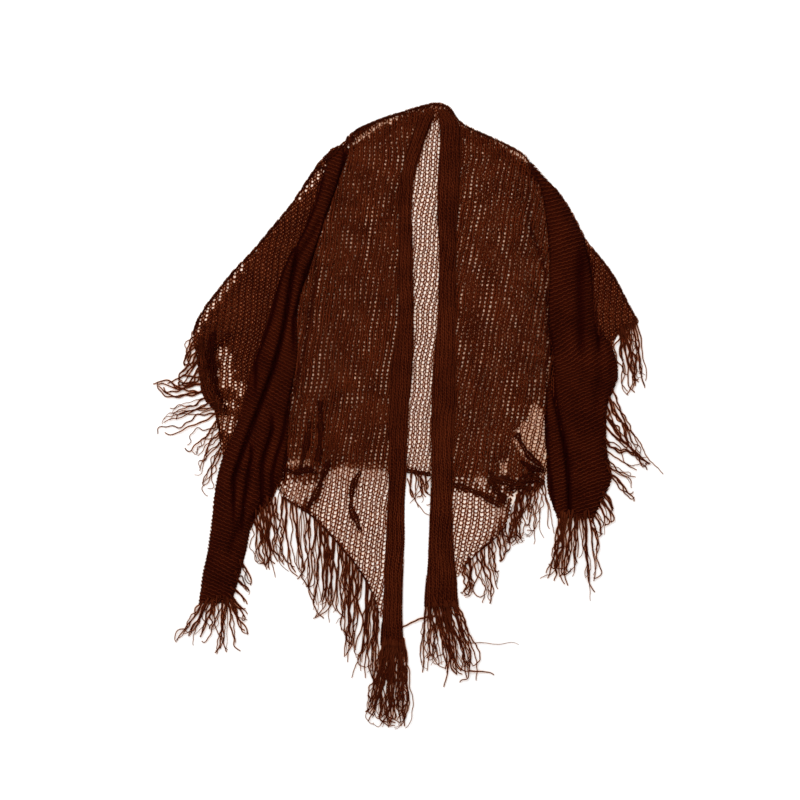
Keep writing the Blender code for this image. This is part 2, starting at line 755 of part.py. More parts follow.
def main():
    for obj in list(bpy.data.objects):
        bpy.data.objects.remove(obj)
    bpy.context.scene.unit_settings.system = "METRIC"
    collection = bpy.data.collections.new("knitted_fringed_shawl")
    bpy.context.scene.collection.children.link(collection)
    root = bpy.data.objects.new("shawl", None)
    collection.objects.link(root)

    cloth = {
        "back": back_mesh(),
        "wing_left": wing_mesh(WING_LEFT, -1, PLEATS_LEFT, WING_CREASES_LEFT),
        "wing_right": wing_mesh(WING_RIGHT, 1, PLEATS_RIGHT, WING_CREASES_RIGHT),
        "front_left": front_left_mesh(),
        "front_right": front_right_mesh(),
        "edge_roll_left": roll_mesh(ROLL_LEFT, HEM_LEFT_SIDE, GROOVE_LEFT),
        "edge_roll_right": roll_mesh(ROLL_RIGHT, HEM_RIGHT_SIDE, 0.0),
        "pleats_left": pleats_mesh(PLEATS_LEFT, PLEAT_CREASES_LEFT, HEM_LEFT_SIDE),
        "pleats_right": pleats_mesh(PLEATS_RIGHT, PLEAT_CREASES_RIGHT, HEM_RIGHT_SIDE),
    }
    for name, bm in cloth.items():
        add_object(name, bm, collection, root, yarn_material(name + "_knit", YARN))
    for seed, (name, fringe) in enumerate(FRINGES.items(), 1):
        bm = fringe_mesh(fringe.locks, fringe.count, fringe.wander, seed)
        add_object(name, bm, collection, root, yarn_material(name + "_yarn", YARN_SHADE))


main()
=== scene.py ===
"""A loosely knitted, fringed shawl laid out flat: its stitches, fringe, colours and studio.

Places and sizes in the tables are in millimetres, on the frame's axes: X across the shawl,
Y from the fringe up to the neck and Z up from the surface that it lies on.
"""

import math
import random
from bisect import bisect_right
from collections import namedtuple

import bmesh
import bpy
from bpy.props import FloatProperty, FloatVectorProperty, PointerProperty
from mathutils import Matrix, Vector, kdtree, noise
from mathutils.bvhtree import BVHTree


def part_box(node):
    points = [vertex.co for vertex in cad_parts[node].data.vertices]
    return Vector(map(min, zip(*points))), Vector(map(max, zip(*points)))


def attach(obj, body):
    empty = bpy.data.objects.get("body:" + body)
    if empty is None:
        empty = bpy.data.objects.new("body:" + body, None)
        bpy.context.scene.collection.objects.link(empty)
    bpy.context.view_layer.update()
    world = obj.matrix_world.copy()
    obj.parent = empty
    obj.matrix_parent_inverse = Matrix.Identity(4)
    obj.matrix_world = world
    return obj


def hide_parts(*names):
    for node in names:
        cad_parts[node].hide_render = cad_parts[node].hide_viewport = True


bl_info = {
    "name": "Knitted Fringed Shawl",
    "version": (1, 0, 0),
    "blender": (4, 5, 0),
    "location": "View3D > Sidebar > Shawl",
    "description": "Knits a fringed shawl over its solids and sets up its studio",
    "category": "Object",
}

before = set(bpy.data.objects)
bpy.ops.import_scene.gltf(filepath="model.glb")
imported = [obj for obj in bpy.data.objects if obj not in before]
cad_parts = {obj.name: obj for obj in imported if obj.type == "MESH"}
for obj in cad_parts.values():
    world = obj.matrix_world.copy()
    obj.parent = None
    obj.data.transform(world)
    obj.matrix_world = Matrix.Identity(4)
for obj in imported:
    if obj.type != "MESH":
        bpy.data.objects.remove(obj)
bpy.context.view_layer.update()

MM = 0.001
# Points closer than this are one, and the solids' tops are read from this height, in metres.
JOIN = 0.00002
ABOVE = 0.2

# A fold in the cloth: how far it stands up or sinks in, its half width and points (y, x).
Fold = namedtuple("Fold", "height width path")
# A narrow fold on the cloth: the solid below, half width, height, points (x, y), painted light and
# spill.
Tuck = namedtuple("Tuck", "node half rise path light spill", defaults=(1.0, 0.0))
# A strand of a fringe: where it starts, bends and ends.
Lock = namedtuple("Lock", "root bend tip")
# A layer of knit: the size of its stitch, the width of its yarn and how it lies on its solid.
Knit = namedtuple(
    "Knit",
    "name node wale course width parts relief sunk lean slope inset gaps folds curve only shift",
    defaults=(8, 0.3, 0.0, None, 0.0, -4.0, (), (), 1.0, (), (0.0, 0.0)),
)

# The middle lines of the pleats and rolls, as points (y, x): their wales run along them.
PLEATS_LEFT_LINE = (
    (462, -105), (401, -129), (318, -158), (251, -185), (176, -206), (109, -218), (42, -231),
    (-24, -245), (-91, -263), (-149, -285), (-208, -298), (-296, -320),
)
PLEATS_RIGHT_LINE = (
    (439, 206), (392, 238), (342, 257), (292, 270), (226, 276), (156, 282), (101, 297),
    (39, 284), (-24, 283), (-88, 288), (-154, 282),
)
ROLL_LEFT_LINE = (
    (526, 40), (476, 20), (409, 2), (276, -1), (142, -3), (42, -11), (-74, -14), (-191, -18),
    (-308, -23), (-366, -24),
)
ROLL_RIGHT_LINE = (
    (526, 60), (496, 73), (426, 72), (292, 69), (134, 66), (42, 62), (-91, 60), (-224, 58),
    (-301, 58),
)
FRONT_RIGHT_LINE = ((-300, 90), (450, 230))
FRONT_LEFT_LINE = ((-400, -150), (450, -30))
FRONT_LEFT_SLOPE = ((-400, 0.15), (-130, 0.25), (120, 0.0), (450, 0.0))
BACK_LINE = ((-110, -20), (550, 72))
WING_LEFT_LINE = ((-80, -260), (450, -196))
WING_RIGHT_LINE = ((100, 330), (400, 350))

# The folds in the pleats, the left wing and the fronts, each also painted darker along its trough as
# painted shade.
PLEATS_LEFT_FOLDS = (
    Fold(
        -3.5, 2.8,
        ((409, -140), (359, -155), (309, -177), (284, -193), (251, -207), (184, -223), (109, -250)),
    ),
    Fold(-3.5, 2.8, ((451, -102), (401, -113), (356, -130), (301, -147), (251, -167), (176, -187))),
    Fold(
        -3.5, 2.6,
        ((189, -163), (116, -175), (67, -187), (26, -197), (-16, -205), (-49, -215), (-82, -223)),
    ),
    Fold(
        -4.5, 2.8,
        ((292, -182), (226, -193), (167, -203), (109, -217), (42, -240), (-16, -262), (-87, -287)),
    ),
    Fold(-3.5, 2.4, ((-7, -223), (-74, -240), (-124, -240), (-149, -252))),
    Fold(-3.0, 2.4, ((-49, -257), (-107, -267), (-157, -273))),
)
PLEATS_RIGHT_FOLDS = (
    Fold(-4.5, 2.8, ((106, 242), (51, 247), (9, 255), (-41, 265), (-91, 270), (-154, 273))),
    Fold(-3.5, 2.2, ((42, 232), (-57, 237), (-124, 245))),
    Fold(-1.2, 7.0, ((276, 290), (142, 290))),
    Fold(-3.5, 2.8, ((301, 300), (242, 312), (176, 318), (151, 320))),
)
WING_LEFT_FOLDS = (
    Fold(-4.0, 6.0, ((148, -296), (131, -313), (116, -328))),
    Fold(-2.6, 4.0, ((118, -329), (90, -325), (62, -316), (36, -302))),
)
FRONT_LEFT_FOLDS = (
    Fold(
        -1.6, 3.0,
        ((240, -150), (189, -160), (116, -172), (67, -184), (26, -194), (-16, -202), (-60, -214)),
    ),
)
FRONT_RIGHT_FOLDS = (
    Fold(-1.6, 3.0, ((330, 205), (250, 232), (150, 236), (60, 234), (0, 233), (-60, 235))),
)

# Corners (x, y) of the places where a layer of knit leaves off.
BACK_OPEN = (
    (
        (175, -19), (182, -4), (193, 2), (205, 17), (208, 34), (218, 44), (232, 17), (238, -30),
        (238, -95), (225, -80), (212, -70), (197, -57), (183, -41),
    ),
    ((153, -58), (171, -56), (172, -80), (155, -83)),
    ((-206, -57), (-160, -55), (-160, -66), (-206, -68)),
)
FRONT_LEFT_OPEN = (
    BACK_OPEN[2],
    (
        (-130, -71), (-102, -62), (-68, -62), (-30, -67), (-15, -91), (-15, -400), (-60, -345),
        (-90, -262), (-125, -215), (-165, -155), (-147, -124), (-137, -91),
    ),
    (
        (-203, -93), (-190, -88), (-172, -95), (-143, -92), (-150, -115), (-168, -125),
        (-176, -150), (-210, -130), (-212, -112),
    ),
)
# Here both layers of the right front leave off, and the floor shows.
HOLE = ((172, -114), (189, -112), (192, -134), (175, -138))
FRONT_RIGHT_OPEN = (
    HOLE,
    *BACK_OPEN[:2],
    ((159, -91), (178, -90), (178, -105), (161, -105)),
    ((60, -101), (98, -111), (132, -122), (165, -139), (157, -157), (82, -291), (50, -291)),
    ((110, -83), (125, -80), (137, -95), (133, -108), (118, -104)),
)
SHOULDERS_OPEN = (
    ((-100, 472), (-60, 497), (-2, 532), (1, 519), (-57, 484), (-97, 460)),
    ((80, 524), (157, 489), (198, 460), (235, 420), (226, 409), (191, 442), (153, 470), (76, 504)),
)
WING_LEFT_OPEN = (
    (
        (-360, 151), (-340, 190), (-305, 235), (-240, 325), (-177, 392), (-105, 470), (-99, 461),
        (-172, 381), (-235, 314), (-297, 223), (-330, 182), (-346, 151),
    ),
    ((-313, 130), (-294, 130), (-291, 101), (-300, 94), (-312, 97)),
    ((-316, 96), (-286, 96), (-284, 74), (-292, 60), (-314, 62)),
    ((-288, 76), (-267, 76), (-264, 50), (-285, 48)),
    ((-302, 44), (-282, 46), (-280, 24), (-300, 22)),
    ((-318, 20), (-282, 20), (-282, -12), (-300, -18), (-312, -8)),
)
# The corners of the place where the back has a second layer.
NECK = (
    (-130, 440), (-60, 470), (0, 500), (35, 508), (60, 508), (100, 480), (150, 450), (240, 385),
    (270, 420), (200, 600), (-160, 600),
)

# The narrow folds that lie on the cloth. Their last number is painted light: below 1 it paints shade,
# as in the hollow on the left wing and beside the left pleats.
TUCKS = (
    Tuck("front_left", 2.4, 1.2, ((-143, 42), (-142, -8), (-148, -61))),
    Tuck("front_left", 3.0, 1.4, ((-160, 8), (-166, -31), (-176, -71))),
    Tuck(
        "front_left", 6.5, 2.6,
        ((-127, -58), (-138, -84), (-150, -112), (-165, -138), (-174, -148)), 0.7,
    ),
    Tuck("front_left", 3.4, 1.6, ((-204, -72), (-184, -78), (-164, -74), (-146, -80)), 0.7),
    Tuck("front_left", 4.2, 2.0, ((-75, -74), (-90, -108), (-92, -134), (-83, -158), (-75, -178))),
    Tuck("front_right", 2.0, 1.2, ((183, -12), (205, -50), (231, -72))),
    Tuck("front_right", 4.6, 1.6, ((190, -58), (208, -70), (233, -77)), 0.4),
    Tuck("front_right", 6.0, 2.2, ((77, -97), (123, -114), (162, -137))),
    Tuck("front_right", 8.0, 1.8, ((136, -86), (147, -102), (158, -118), (167, -130)), 0.9),
    Tuck("front_right", 7.0, 3.0, ((152, -87), (182, -96), (207, -87), (232, -94)), 0.9),
    Tuck("front_right", 5.0, 2.4, ((165, -107), (190, -101), (215, -111))),
    Tuck("front_right", 5.0, 2.4, ((137, -74), (153, -91), (173, -84))),
    Tuck("wing_left", 9.0, 3.2, ((-341, 148), (-340, 100), (-333, 62), (-314, 26)), 1.3),
    Tuck("wing_left", 6.0, 1.8, ((-318, 156), (-325, 136), (-322, 118), (-319, 84), (-312, 50)), 0.35),
    Tuck("front_left", 3.2, 1.4, ((-202, -14), (-203, -52), (-205, -92)), 0.25),
    Tuck("back", 2.4, 0.8, ((-2, -75), (20, -79), (42, -83))),
    Tuck("pleats_left", 5.5, 1.5, ((-138, 440), (-117, 459), (-98, 472), (-78, 485)), 0.7, 16.0),
)

# The knit's own edges at the neck, shoulders and sides, as tucks.
EDGES = (
    Tuck(
        "back", 1.8, 1.0,
        ((-60, 490), (-2, 526), (23, 534), (45, 537), (67, 530), (78, 517), (93, 507)),
    ),
    Tuck("front_left", 1.8, 1.0, ((-102, 464), (-60, 489), (-2, 524))),
    Tuck("front_right", 1.8, 1.0, ((80, 514), (157, 479), (198, 451), (232, 412))),
    Tuck(
        "wing_left", 1.8, 1.0,
        ((-102, 464), (-177, 384), (-240, 317), (-302, 226), (-335, 184), (-352, 151)),
    ),
    Tuck("wing_right", 1.8, 1.0, ((307, 292), (340, 251), (373, 201), (387, 168))),
)

# The fringe. The strands between two locks lie evenly between them.
FRINGE_TIP_LEFT = (
    Lock((-41, -370.7), (-50, -441), (-70, -488)),
    Lock((-35, -370.7), (-44, -449), (-62, -509)),
    Lock((-28, -370.7), (-36, -458), (-47, -521)),
    Lock((-21, -370.7), (-26, -466), (-31, -530)),
    Lock((-15, -370.7), (-17, -466), (-19, -518)),
    Lock((-9, -370.7), (-7, -449), (-9, -537)),
    Lock((-3, -370.7), (3, -441), (1, -519)),
)
FRINGE_TIP_RIGHT = (
    Lock((31, -305.6), (24, -366), (23, -414)),
    Lock((39, -305.6), (41, -374), (40, -411)),
    Lock((47, -305.6), (54, -374), (62, -436)),
    Lock((55, -305.6), (66, -366), (76, -428)),
    Lock((63, -305.6), (78, -374), (89, -431)),
    Lock((71, -305.6), (92, -374), (106, -433)),
    Lock((79, -305.6), (100, -366), (110, -431)),
    Lock((87, -305.6), (112, -360), (122, -428)),
)
FRINGE_FRONT_LEFT = (
    Lock((-206, -127), (-198, -199), (-181, -286)),
    Lock((-178, -143.5), (-177, -208), (-167, -278)),
    Lock((-152, -164), (-152, -232), (-153, -319)),
    Lock((-137, -179.5), (-137, -249), (-141, -324)),
    Lock((-120, -197.5), (-125, -266), (-128, -338)),
    Lock((-104, -216.5), (-108, -291), (-98, -372)),
    Lock((-87, -237.5), (-85, -308), (-98, -404)),
    Lock((-70, -263.5), (-71, -341), (-83, -418)),
    Lock((-55, -294), (-59, -368), (-70, -454)),
    Lock((-47, -323), (-50, -374), (-55, -441)),
)
FRINGE_PLEATS_LEFT = (
    Lock((-255.5, -178), (-251, -208), (-242, -238)),
    Lock((-247, -158), (-240, -204), (-230, -258)),
    Lock((-237, -145), (-230, -199), (-222, -266)),
    Lock((-225, -133), (-218, -191), (-210, -244)),
    Lock((-215, -127), (-205, -199), (-192, -274)),
)
FRINGE_SIDE_LEFT = (
    Lock((-345, -301.5), (-362, -341), (-398, -374)),
    Lock((-335, -301.5), (-351, -341), (-375, -362)),
    Lock((-325, -301.5), (-336, -338), (-347, -366)),
    Lock((-313, -301.5), (-318, -328), (-323, -351)),
    Lock((-303, -301.5), (-306, -358), (-314, -408)),
    Lock((-292, -301.5), (-287, -330), (-262, -371)),
    Lock((-284, -293), (-275, -303), (-264, -316)),
    Lock((-276, -262), (-267, -272), (-263, -284)),
    Lock((-266, -234), (-258, -251), (-247, -268)),
)
FRINGE_WING_LEFT = (
    Lock((-361, 142), (-368, 126), (-366, 106)),
    Lock((-356, 120), (-373, 104), (-377, 80)),
    Lock((-350.5, 94), (-367, 74), (-381, 60)),
    Lock((-347, 62), (-378, 45), (-426.5, 78)),
    Lock((-339, 40), (-362, 24), (-394, 18)),
    Lock((-325, 23), (-363, 8), (-423, -1)),
    Lock((-318, -4), (-341, -34), (-360, -58)),
    Lock((-314, -37), (-333, -74), (-352, -94)),
    Lock((-312.5, -60), (-328, -108), (-335, -149)),
)
FRINGE_WING_RIGHT = (
    Lock((385, 164.5), (398, 112), (408, 39)),
    Lock((377, 160.5), (390, 106), (396, 42)),
    Lock((369, 156.5), (382, 96), (385, 49)),
    Lock((361, 152.5), (373, 89), (373, 36)),
    Lock((355.5, 148), (363, 124), (361, 99)),
)
FRINGE_PLEATS_RIGHT = (
    Lock((348.5, 54), (368, -2), (396, -58)),
    Lock((339.5, 28), (360, -19), (386, -62)),
    Lock((338, -18), (366, -50), (426.5, -80)),
    Lock((342, -62), (366, -82), (392, -98)),
    Lock((347.5, -90), (365, -113), (385, -138)),
)
FRINGE_FRONT_RIGHT = (
    Lock((227, -104.5), (225, -158), (200, -212)),
    Lock((213, -110.5), (212, -132), (203, -156)),
    Lock((197, -118), (193, -158), (192, -204)),
    Lock((186, -125), (185, -166), (184, -204)),
    Lock((178, -158), (180, -182), (174, -206)),
    Lock((165, -182), (168, -204), (161, -222)),
    Lock((146, -200), (152, -232), (156, -258)),
    Lock((127, -215), (131, -266), (153, -320)),
    Lock((111, -229.5), (115, -262), (110, -291)),
    Lock((97, -245), (99, -266), (97, -290)),
)
FRINGE_SIDE_RIGHT = (
    Lock((253, -158.7), (238, -205), (218, -268)),
    Lock((264, -158.7), (259, -216), (250, -261)),
    Lock((276, -158.7), (270, -224), (268, -281)),
    Lock((288, -158.7), (285, -208), (287, -249)),
    Lock((300, -158.7), (303, -224), (313, -296)),
    Lock((316, -160), (324, -176), (322, -198)),
    Lock((330, -140), (338, -151), (337, -171)),
    Lock((339, -119), (348, -128), (350, -144)),
)
FRINGE_BACK = (
    Lock((6, -83), (3, -108), (5, -141)),
    Lock((14, -84.7), (17, -103), (15, -124)),
    Lock((22, -86.5), (23, -118), (35, -149)),
    Lock((33, -88.8), (35, -98), (37, -114)),
)
# Strands that stray from their fringe, each on its own.
STRAYS = {
    "fringe_tip_left": (Lock((-32, -371), (-52, -420), (-64, -478)),),
    "fringe_tip_right": (
        Lock((103, -362), (145, -368), (188, -364)),
        Lock((104, -408), (126, -415), (147, -415)),
        Lock((52, -317), (14, -316), (-36, -350)),
    ),
    "fringe_front_left": (
        Lock((-140, -176), (-98, -290), (-150, -318)),
        Lock((-60, -290), (-74, -400), (-90, -420)),
        Lock((-208, -102), (-224, -150), (-216, -204)),
        Lock((-213, -98), (-234, -142), (-238, -196)),
        Lock((-203, -106), (-206, -160), (-224, -216)),
    ),
    "fringe_front_right": (
        Lock((214, -102), (222, -142), (229, -188)),
        Lock((223, -99), (238, -138), (247, -180)),
        Lock((229, -94), (243, -130), (238, -172)),
        Lock((206, -105), (203, -150), (214, -198)),
        Lock((190, -112), (180, -150), (171, -196)),
    ),
    "fringe_back": (Lock((2, -88), (16, -120), (42, -152)), Lock((44, -84), (20, -112), (6, -130))),
    "fringe_pleats_right": (Lock((345, 40), (390, -30), (428, -82)),),
}
# Each fringe with the cloth that it hangs from, its strands and how freely they wind.
FRINGES = {
    "fringe_tip_left": (FRINGE_TIP_LEFT, "edge_roll_left", 56, 1.0),
    "fringe_tip_right": (FRINGE_TIP_RIGHT, "edge_roll_right", 48, 1.0),
    "fringe_front_left": (FRINGE_FRONT_LEFT, "front_left", 70, 0.7),
    "fringe_pleats_left": (FRINGE_PLEATS_LEFT, "pleats_left", 20, 1.0),
    "fringe_side_left": (FRINGE_SIDE_LEFT, "pleats_left", 44, 1.3),
    "fringe_wing_left": (FRINGE_WING_LEFT, "wing_left", 44, 1.7),
    "fringe_wing_right": (FRINGE_WING_RIGHT, "wing_right", 20, 1.0),
    "fringe_pleats_right": (FRINGE_PLEATS_RIGHT, "pleats_right", 22, 1.2),
    "fringe_front_right": (FRINGE_FRONT_RIGHT, "front_right", 54, 1.5),
    "fringe_side_right": (FRINGE_SIDE_RIGHT, "pleats_right", 48, 1.0),
    "fringe_back": (FRINGE_BACK, "back", 9, 1.2),
}

# How far inside the fringe's own edge the strands start, on open and on gathered cloth.
ROOT_INSIDE = (8.0, 16.0)
ROOT_GATHERED = (8.0, 20.0)
# The least height of a strand, its height over the cloth and the steepest that it comes down.
STRAND_LOWEST = 2.5
STRAND_OVER = 0.6
STEEPEST = 1.2
# A strand's points: how far apart they are, and the least number of them.
STRAND_PART = 3.2
STRAND_PARTS = 8
# How a strand winds: where it starts to, its slow and fast waves' turns and lengths, its curled end.
WINDS_FROM = 0.2
SLOW_TURN = (0.1, 0.35)
FAST_TURN = (0.05, 0.3)
LONG_WAVE = (38, 75)
SHORT_WAVE = (12, 24)
HOOK = 1.3
HOOK_FROM = 0.75
# The share of its miss that a strand makes up, its rise and fall, and the height it starts at.
BROUGHT_BACK = 0.8
RISE_AND_FALL = 0.8
START_HEIGHT = (2.0, 3.4)
# A strand's thickness against the others, and how much of it is gone at the end.
THICKNESS = (0.5, 1.35)
TAPER = 0.5
# How many strands are in a bunch, how far apart their ends are and how freely each one winds.
BUNCH = (1, 2, 2, 3)
APART = (1.5, 3.0, 7.0)
WILD = (0.5, 0.7, 0.9, 1.2, 2.2)
STRAY_WILD = 0.5
# How far a bunch and each strand in it reach towards the lock's end, and how they scatter.
BUNCH_REACH = (0.8, 1.04)
STRAND_REACH = (0.75, 1.0)
ROOT_SCATTER = 1.2
BEND_SCATTER = 3
END_SCATTER = 5
# The random seed of the first fringe.
FIRST_SEED = 40

# A hem or an edge: its half width and height, its place in the fringe and its points' distance.
HEM_HALF = 1.8
HEM_RISE = 1.0
HEM_INSIDE = 8.5
EDGE_STEP = 14.0

# The yarn in a stitch: its sides, where they start on its section and the step for its heading.
YARN_SIDES = 3
FIRST_SIDE = 0.75
PROBE = 0.01
# Points of a stitch closer than this are one, in millimetres.
SAME_POINT = 0.001
# The share of a loop's sway that is left where the knit is pulled straight.
STRAIGHT_SWAY = 0.35
# The sizes of the cloth's slow drift and of the yarn's strays, and what sets their seeds apart.
DRIFT_SIZE = 55.0
STRAY_SIZE = 7.0
STRAY_SEED = 9
DRIFT_BETWEEN = 3.7
# The random seed of the knit's drift.
KNIT_SEED = 7
# How far a stitch may lie beside its solid, and the share of its distance that it keeps there.
SPILL = 1.2
SPILL_SHARE = 0.3
# Where the height beside a solid is read, inside its edge, and the height if none is found.
INSIDE_EDGE = (MM, 3 * MM, 6 * MM)
THIN_CLOTH = 2 * MM
# The least height of a stitch over the floor, in metres.
LOWEST = 0.0005
# The share of a fold's length over which it fades at each end.
FOLD_FADE = 0.25
# The step between the points of an outline in metres, and the normal of a face that looks down.
OUTLINE_STEP = 0.001
DOWN = -0.9

# A tuck's width and painted light: how it narrows at its ends, swells, wanders and is banded in
# painted shade, darkest at its foot.
TUCK_END = 3
TUCK_END_WIDTH = 0.35
TUCK_EVEN = 0.85
TUCK_SWELL = 0.3
TUCK_SWELL_LENGTH = 8
TUCK_RIPPLE = 0.15
TUCK_RIPPLE_LENGTH = 3.1
TUCK_WANDER = 0.16
TUCK_WANDER_SIZE = 9.0
TUCK_BAND = 0.3
TUCK_BAND_LENGTH = 5.3
TUCK_FOOT_LIGHT = 0.3

# How far the gathered cloth inside the pleats and rolls stays below their skin, in metres.
CORE_SUNK = 0.0018
CORE_LOWEST = 0.0006
CORE_BASE = 0.0002
CORE_CELL = 0.0042
CORE_REACH = 1.5

# The haze of fine fibres in the open knit: how deep it lies and its mesh.
HAZE_SUNK = 0.0011
HAZE_CELL = 0.012

# Painted shade: how much darker the yarn is painted where it lies low in the knit, in folds and beside
# higher cloth, and on the pleats, rolls and wings, the gathered cloth inside them, the tucks and the
# hems.
SHADES = {
    "pleats_left": 0.52, "pleats_right": 0.55, "edge_roll_left": 0.78, "edge_roll_right": 0.78,
    "wing_left": 0.64, "wing_right": 0.75,
}
RISE_SHADE = 0.75
CORE_SHADE = 0.5
TUCK_SHADE = 0.5
HEM_SHADE = 0.45
FOLD_SHADE = 0.85
CAVITY = 1.1
NEAR_BY = 0.008
AROUND = ((1, 0), (0.7, 0.7), (0, 1), (-0.7, 0.7), (-1, 0), (-0.7, -0.7), (0, -1), (0.7, -0.7))
# The fringe is painted darkest on the floor, as painted shade under the strands above it, and is
# streaked a little from strand to strand.
STREAK = 0.25
STREAK_X = 1.7
STREAK_Y = 0.05
FLOOR_LIGHT = 0.1
DARK_BELOW = 1.5
DARK_RANGE = 4.5

# The yarn's finish: roughness, gloss, patterns (scale and detail), tones, ply and fuzz.
YARN_ROUGH = 0.95
YARN_GLOSS = 0.02
NAP_ROUGH = 0.7
DRIFT_NOISE = (22.0, 4.0)
FLECK_NOISE = (420.0, 2.0)
FLECK_SHARE = 0.55
TONE_RANGE = (0.36, 0.64)
PLY_TURNS = 5.0
PLY_DEPTH = 0.05
BUMP_STRENGTH = 0.5
BUMP_HEIGHT = 0.0004
RAGGED = 0.5
FUZZ_EDGE = 4.0
HAZE_NOISE = (260.0, 3.0)
HAZE_RANGE = (0.3, 0.75)

# The studio, in metres: the sheet of paper, the lamp and the camera.
PAPER_HALF = 6.0
PAPER_TONE = 0.9
PAPER_ROUGH = 0.9
LAMP_SIZE = (2.4, 1.6)
LAMP_PLACE = (-1.0, 1.6, 2.4)
CAMERA_PLACE = (-0.010, 0.0425)
SENSOR = 36.0


class Line:
    """A smooth line through a few points (position, value) that never overshoots them."""

    def __init__(self, points):
        points = sorted(points)
        self.at = [p[0] for p in points]
        self.value = [p[1] for p in points]
        steps = [
            (b - a) / (t - s)
            for a, b, s, t in zip(self.value, self.value[1:], self.at, self.at[1:])
        ]
        inner = [0.0 if a * b <= 0 else 2 * a * b / (a + b) for a, b in zip(steps, steps[1:])]
        self.slope = [steps[0], *inner, steps[-1]]

    def __call__(self, at):
        at = min(max(at, self.at[0]), self.at[-1])
        i = min(max(bisect_right(self.at, at) - 1, 0), len(self.at) - 2)
        span = self.at[i + 1] - self.at[i]
        t = (at - self.at[i]) / span
        start = self.value[i] * (1 + 2 * t) + self.slope[i] * span * t
        end = self.value[i + 1] * (3 - 2 * t) - self.slope[i + 1] * span * (1 - t)
        return start * (1 - t) ** 2 + end * t**2


def smooth(value):
    """0 up to 0 and 1 from 1, with a soft step between."""
    value = min(max(value, 0.0), 1.0)
    return value * value * (3 - 2 * value)


class Top:
    """The top of a solid, read from straight above."""

    def __init__(self, node):
        bm = bmesh.new()
        bm.from_mesh(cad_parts[node].data)
        bmesh.ops.remove_doubles(bm, verts=bm.verts, dist=JOIN)
        self.tree = BVHTree.FromBMesh(bm)
        self.outline = outline_of(bm)
        bm.free()
        self.nearest = kdtree.KDTree(len(self.outline))
        for i, point in enumerate(self.outline):
            self.nearest.insert(point, i)
        self.nearest.balance()
        self.low, self.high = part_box(node)
        self.middle = (self.low + self.high) / 2

    def height(self, x, y):
        """Height of the solid's top at a point, or None beside the solid."""
        place = self.tree.ray_cast(Vector((x, y, ABOVE)), Vector((0, 0, -1)))[0]
        return None if place is None else place.z

    def onto(self, x, y, spill):
        """The point and its height, or beside the solid one a little way over the solid's edge."""
        height = self.height(x, y)
        if height is not None:
            return x, y, height
        edge = self.nearest.find(Vector((x, y, 0)))[0]
        outward = Vector((x - edge.x, y - edge.y))
        beyond = outward.length
        if beyond > JOIN:
            outward.normalize()
        for inside in INSIDE_EDGE:
            near = (edge.x - outward.x * inside, edge.y - outward.y * inside)
            height = self.height(*near)
            if height is not None:
                break
        reach = min(beyond if spill > SPILL else SPILL_SHARE * beyond, spill * MM)
        return edge.x + outward.x * reach, edge.y + outward.y * reach, height or THIN_CLOTH

    def painted_light(self, x, y):
        """Painted shade: 1 on open cloth, less where higher cloth stands close by."""
        here = self.height(x, y)
        if here is None:
            return 1.0
        shadow = 0.0
        for dx, dy in AROUND:
            there = self.height(x + dx * NEAR_BY, y + dy * NEAR_BY)
            if there is not None:
                shadow += max(0.0, there - here)
        return max(0.0, 1 - shadow / len(AROUND) / NEAR_BY * CAVITY)

    def holds(self, x, y, inset):
        """True if points all round are on the solid, or with a negative inset any one of them."""
        reach = abs(inset) * MM
        steps = ((0, 0), (reach, 0), (-reach, 0), (0, reach), (0, -reach))
        hits = (self.height(x + dx, y + dy) is not None for dx, dy in steps)
        return any(hits) if inset < 0 else all(hits)


def outline_of(bm):
    """Points a short step apart along the outline of a solid's flat underside."""
    points = []
    for edge in bm.edges:
        if len(edge.link_faces) != 2:
            continue
        down = [face.normal.z < DOWN for face in edge.link_faces]
        if down[0] == down[1]:
            continue
        a, b = (vert.co for vert in edge.verts)
        count = max(1, math.ceil((b - a).length / OUTLINE_STEP))
        for k in range(count):
            point = a.lerp(b, k / count)
            points.append(Vector((point.x, point.y, 0)))
    return points


class Path:
    """A smooth path through a few points (x, y), measured along its length."""

    def __init__(self, points):
        spans = [0.0]
        for (ax, ay), (bx, by) in zip(points, points[1:]):
            spans.append(spans[-1] + math.hypot(bx - ax, by - ay))
        self.length = spans[-1]
        self.x = Line([(s, point[0]) for s, point in zip(spans, points)])
        self.y = Line([(s, point[1]) for s, point in zip(spans, points)])

    def __call__(self, along):
        return Vector((self.x(along), self.y(along)))

    def side(self, along):
        """The direction to the right of the path."""
        heading = self(along + 0.5) - self(along - 0.5)
        return Vector((heading.y, -heading.x)).normalized()


def within(corners, x, y):
    """True if a point lies inside the corners."""
    inside = False
    for (ax, ay), (bx, by) in zip(corners, corners[1:] + corners[:1]):
        if (ay > y) != (by > y) and x < ax + (bx - ax) * (y - ay) / (by - ay):
            inside = not inside
    return inside


def fold_height(folds, x, y):
    """How far the folds lift or sink the cloth at a point in millimetres."""
    height = 0.0
    for line, fold in folds:
        low, high = line.at[0], line.at[-1]
        reach = FOLD_FADE * (high - low)
        fade = smooth((y - low + reach) / reach) * smooth((high + reach - y) / reach)
        away = (x - line(y)) / fold.width
        height += fold.height * fade * math.exp(-away * away)
    return height


def sway(curve):
    """The share of a loop's sway that is left where its knit curves this much."""
    return STRAIGHT_SWAY + (1 - STRAIGHT_SWAY) * curve


def loop_point(along, knit, yarn):
    """A point along one stitch's yarn, which rises to the loop's head and comes down again."""
    turn = math.tau * along
    lean = yarn.swell / math.tau * math.sin(2 * turn) + yarn.narrow * math.sin(turn)
    lean *= sway(knit.curve)
    x = knit.wale * (along - 0.5 + lean)
    y = -knit.course * yarn.reach * knit.curve * math.cos(turn)
    return Vector((x, y, -knit.relief * math.cos(2 * turn)))


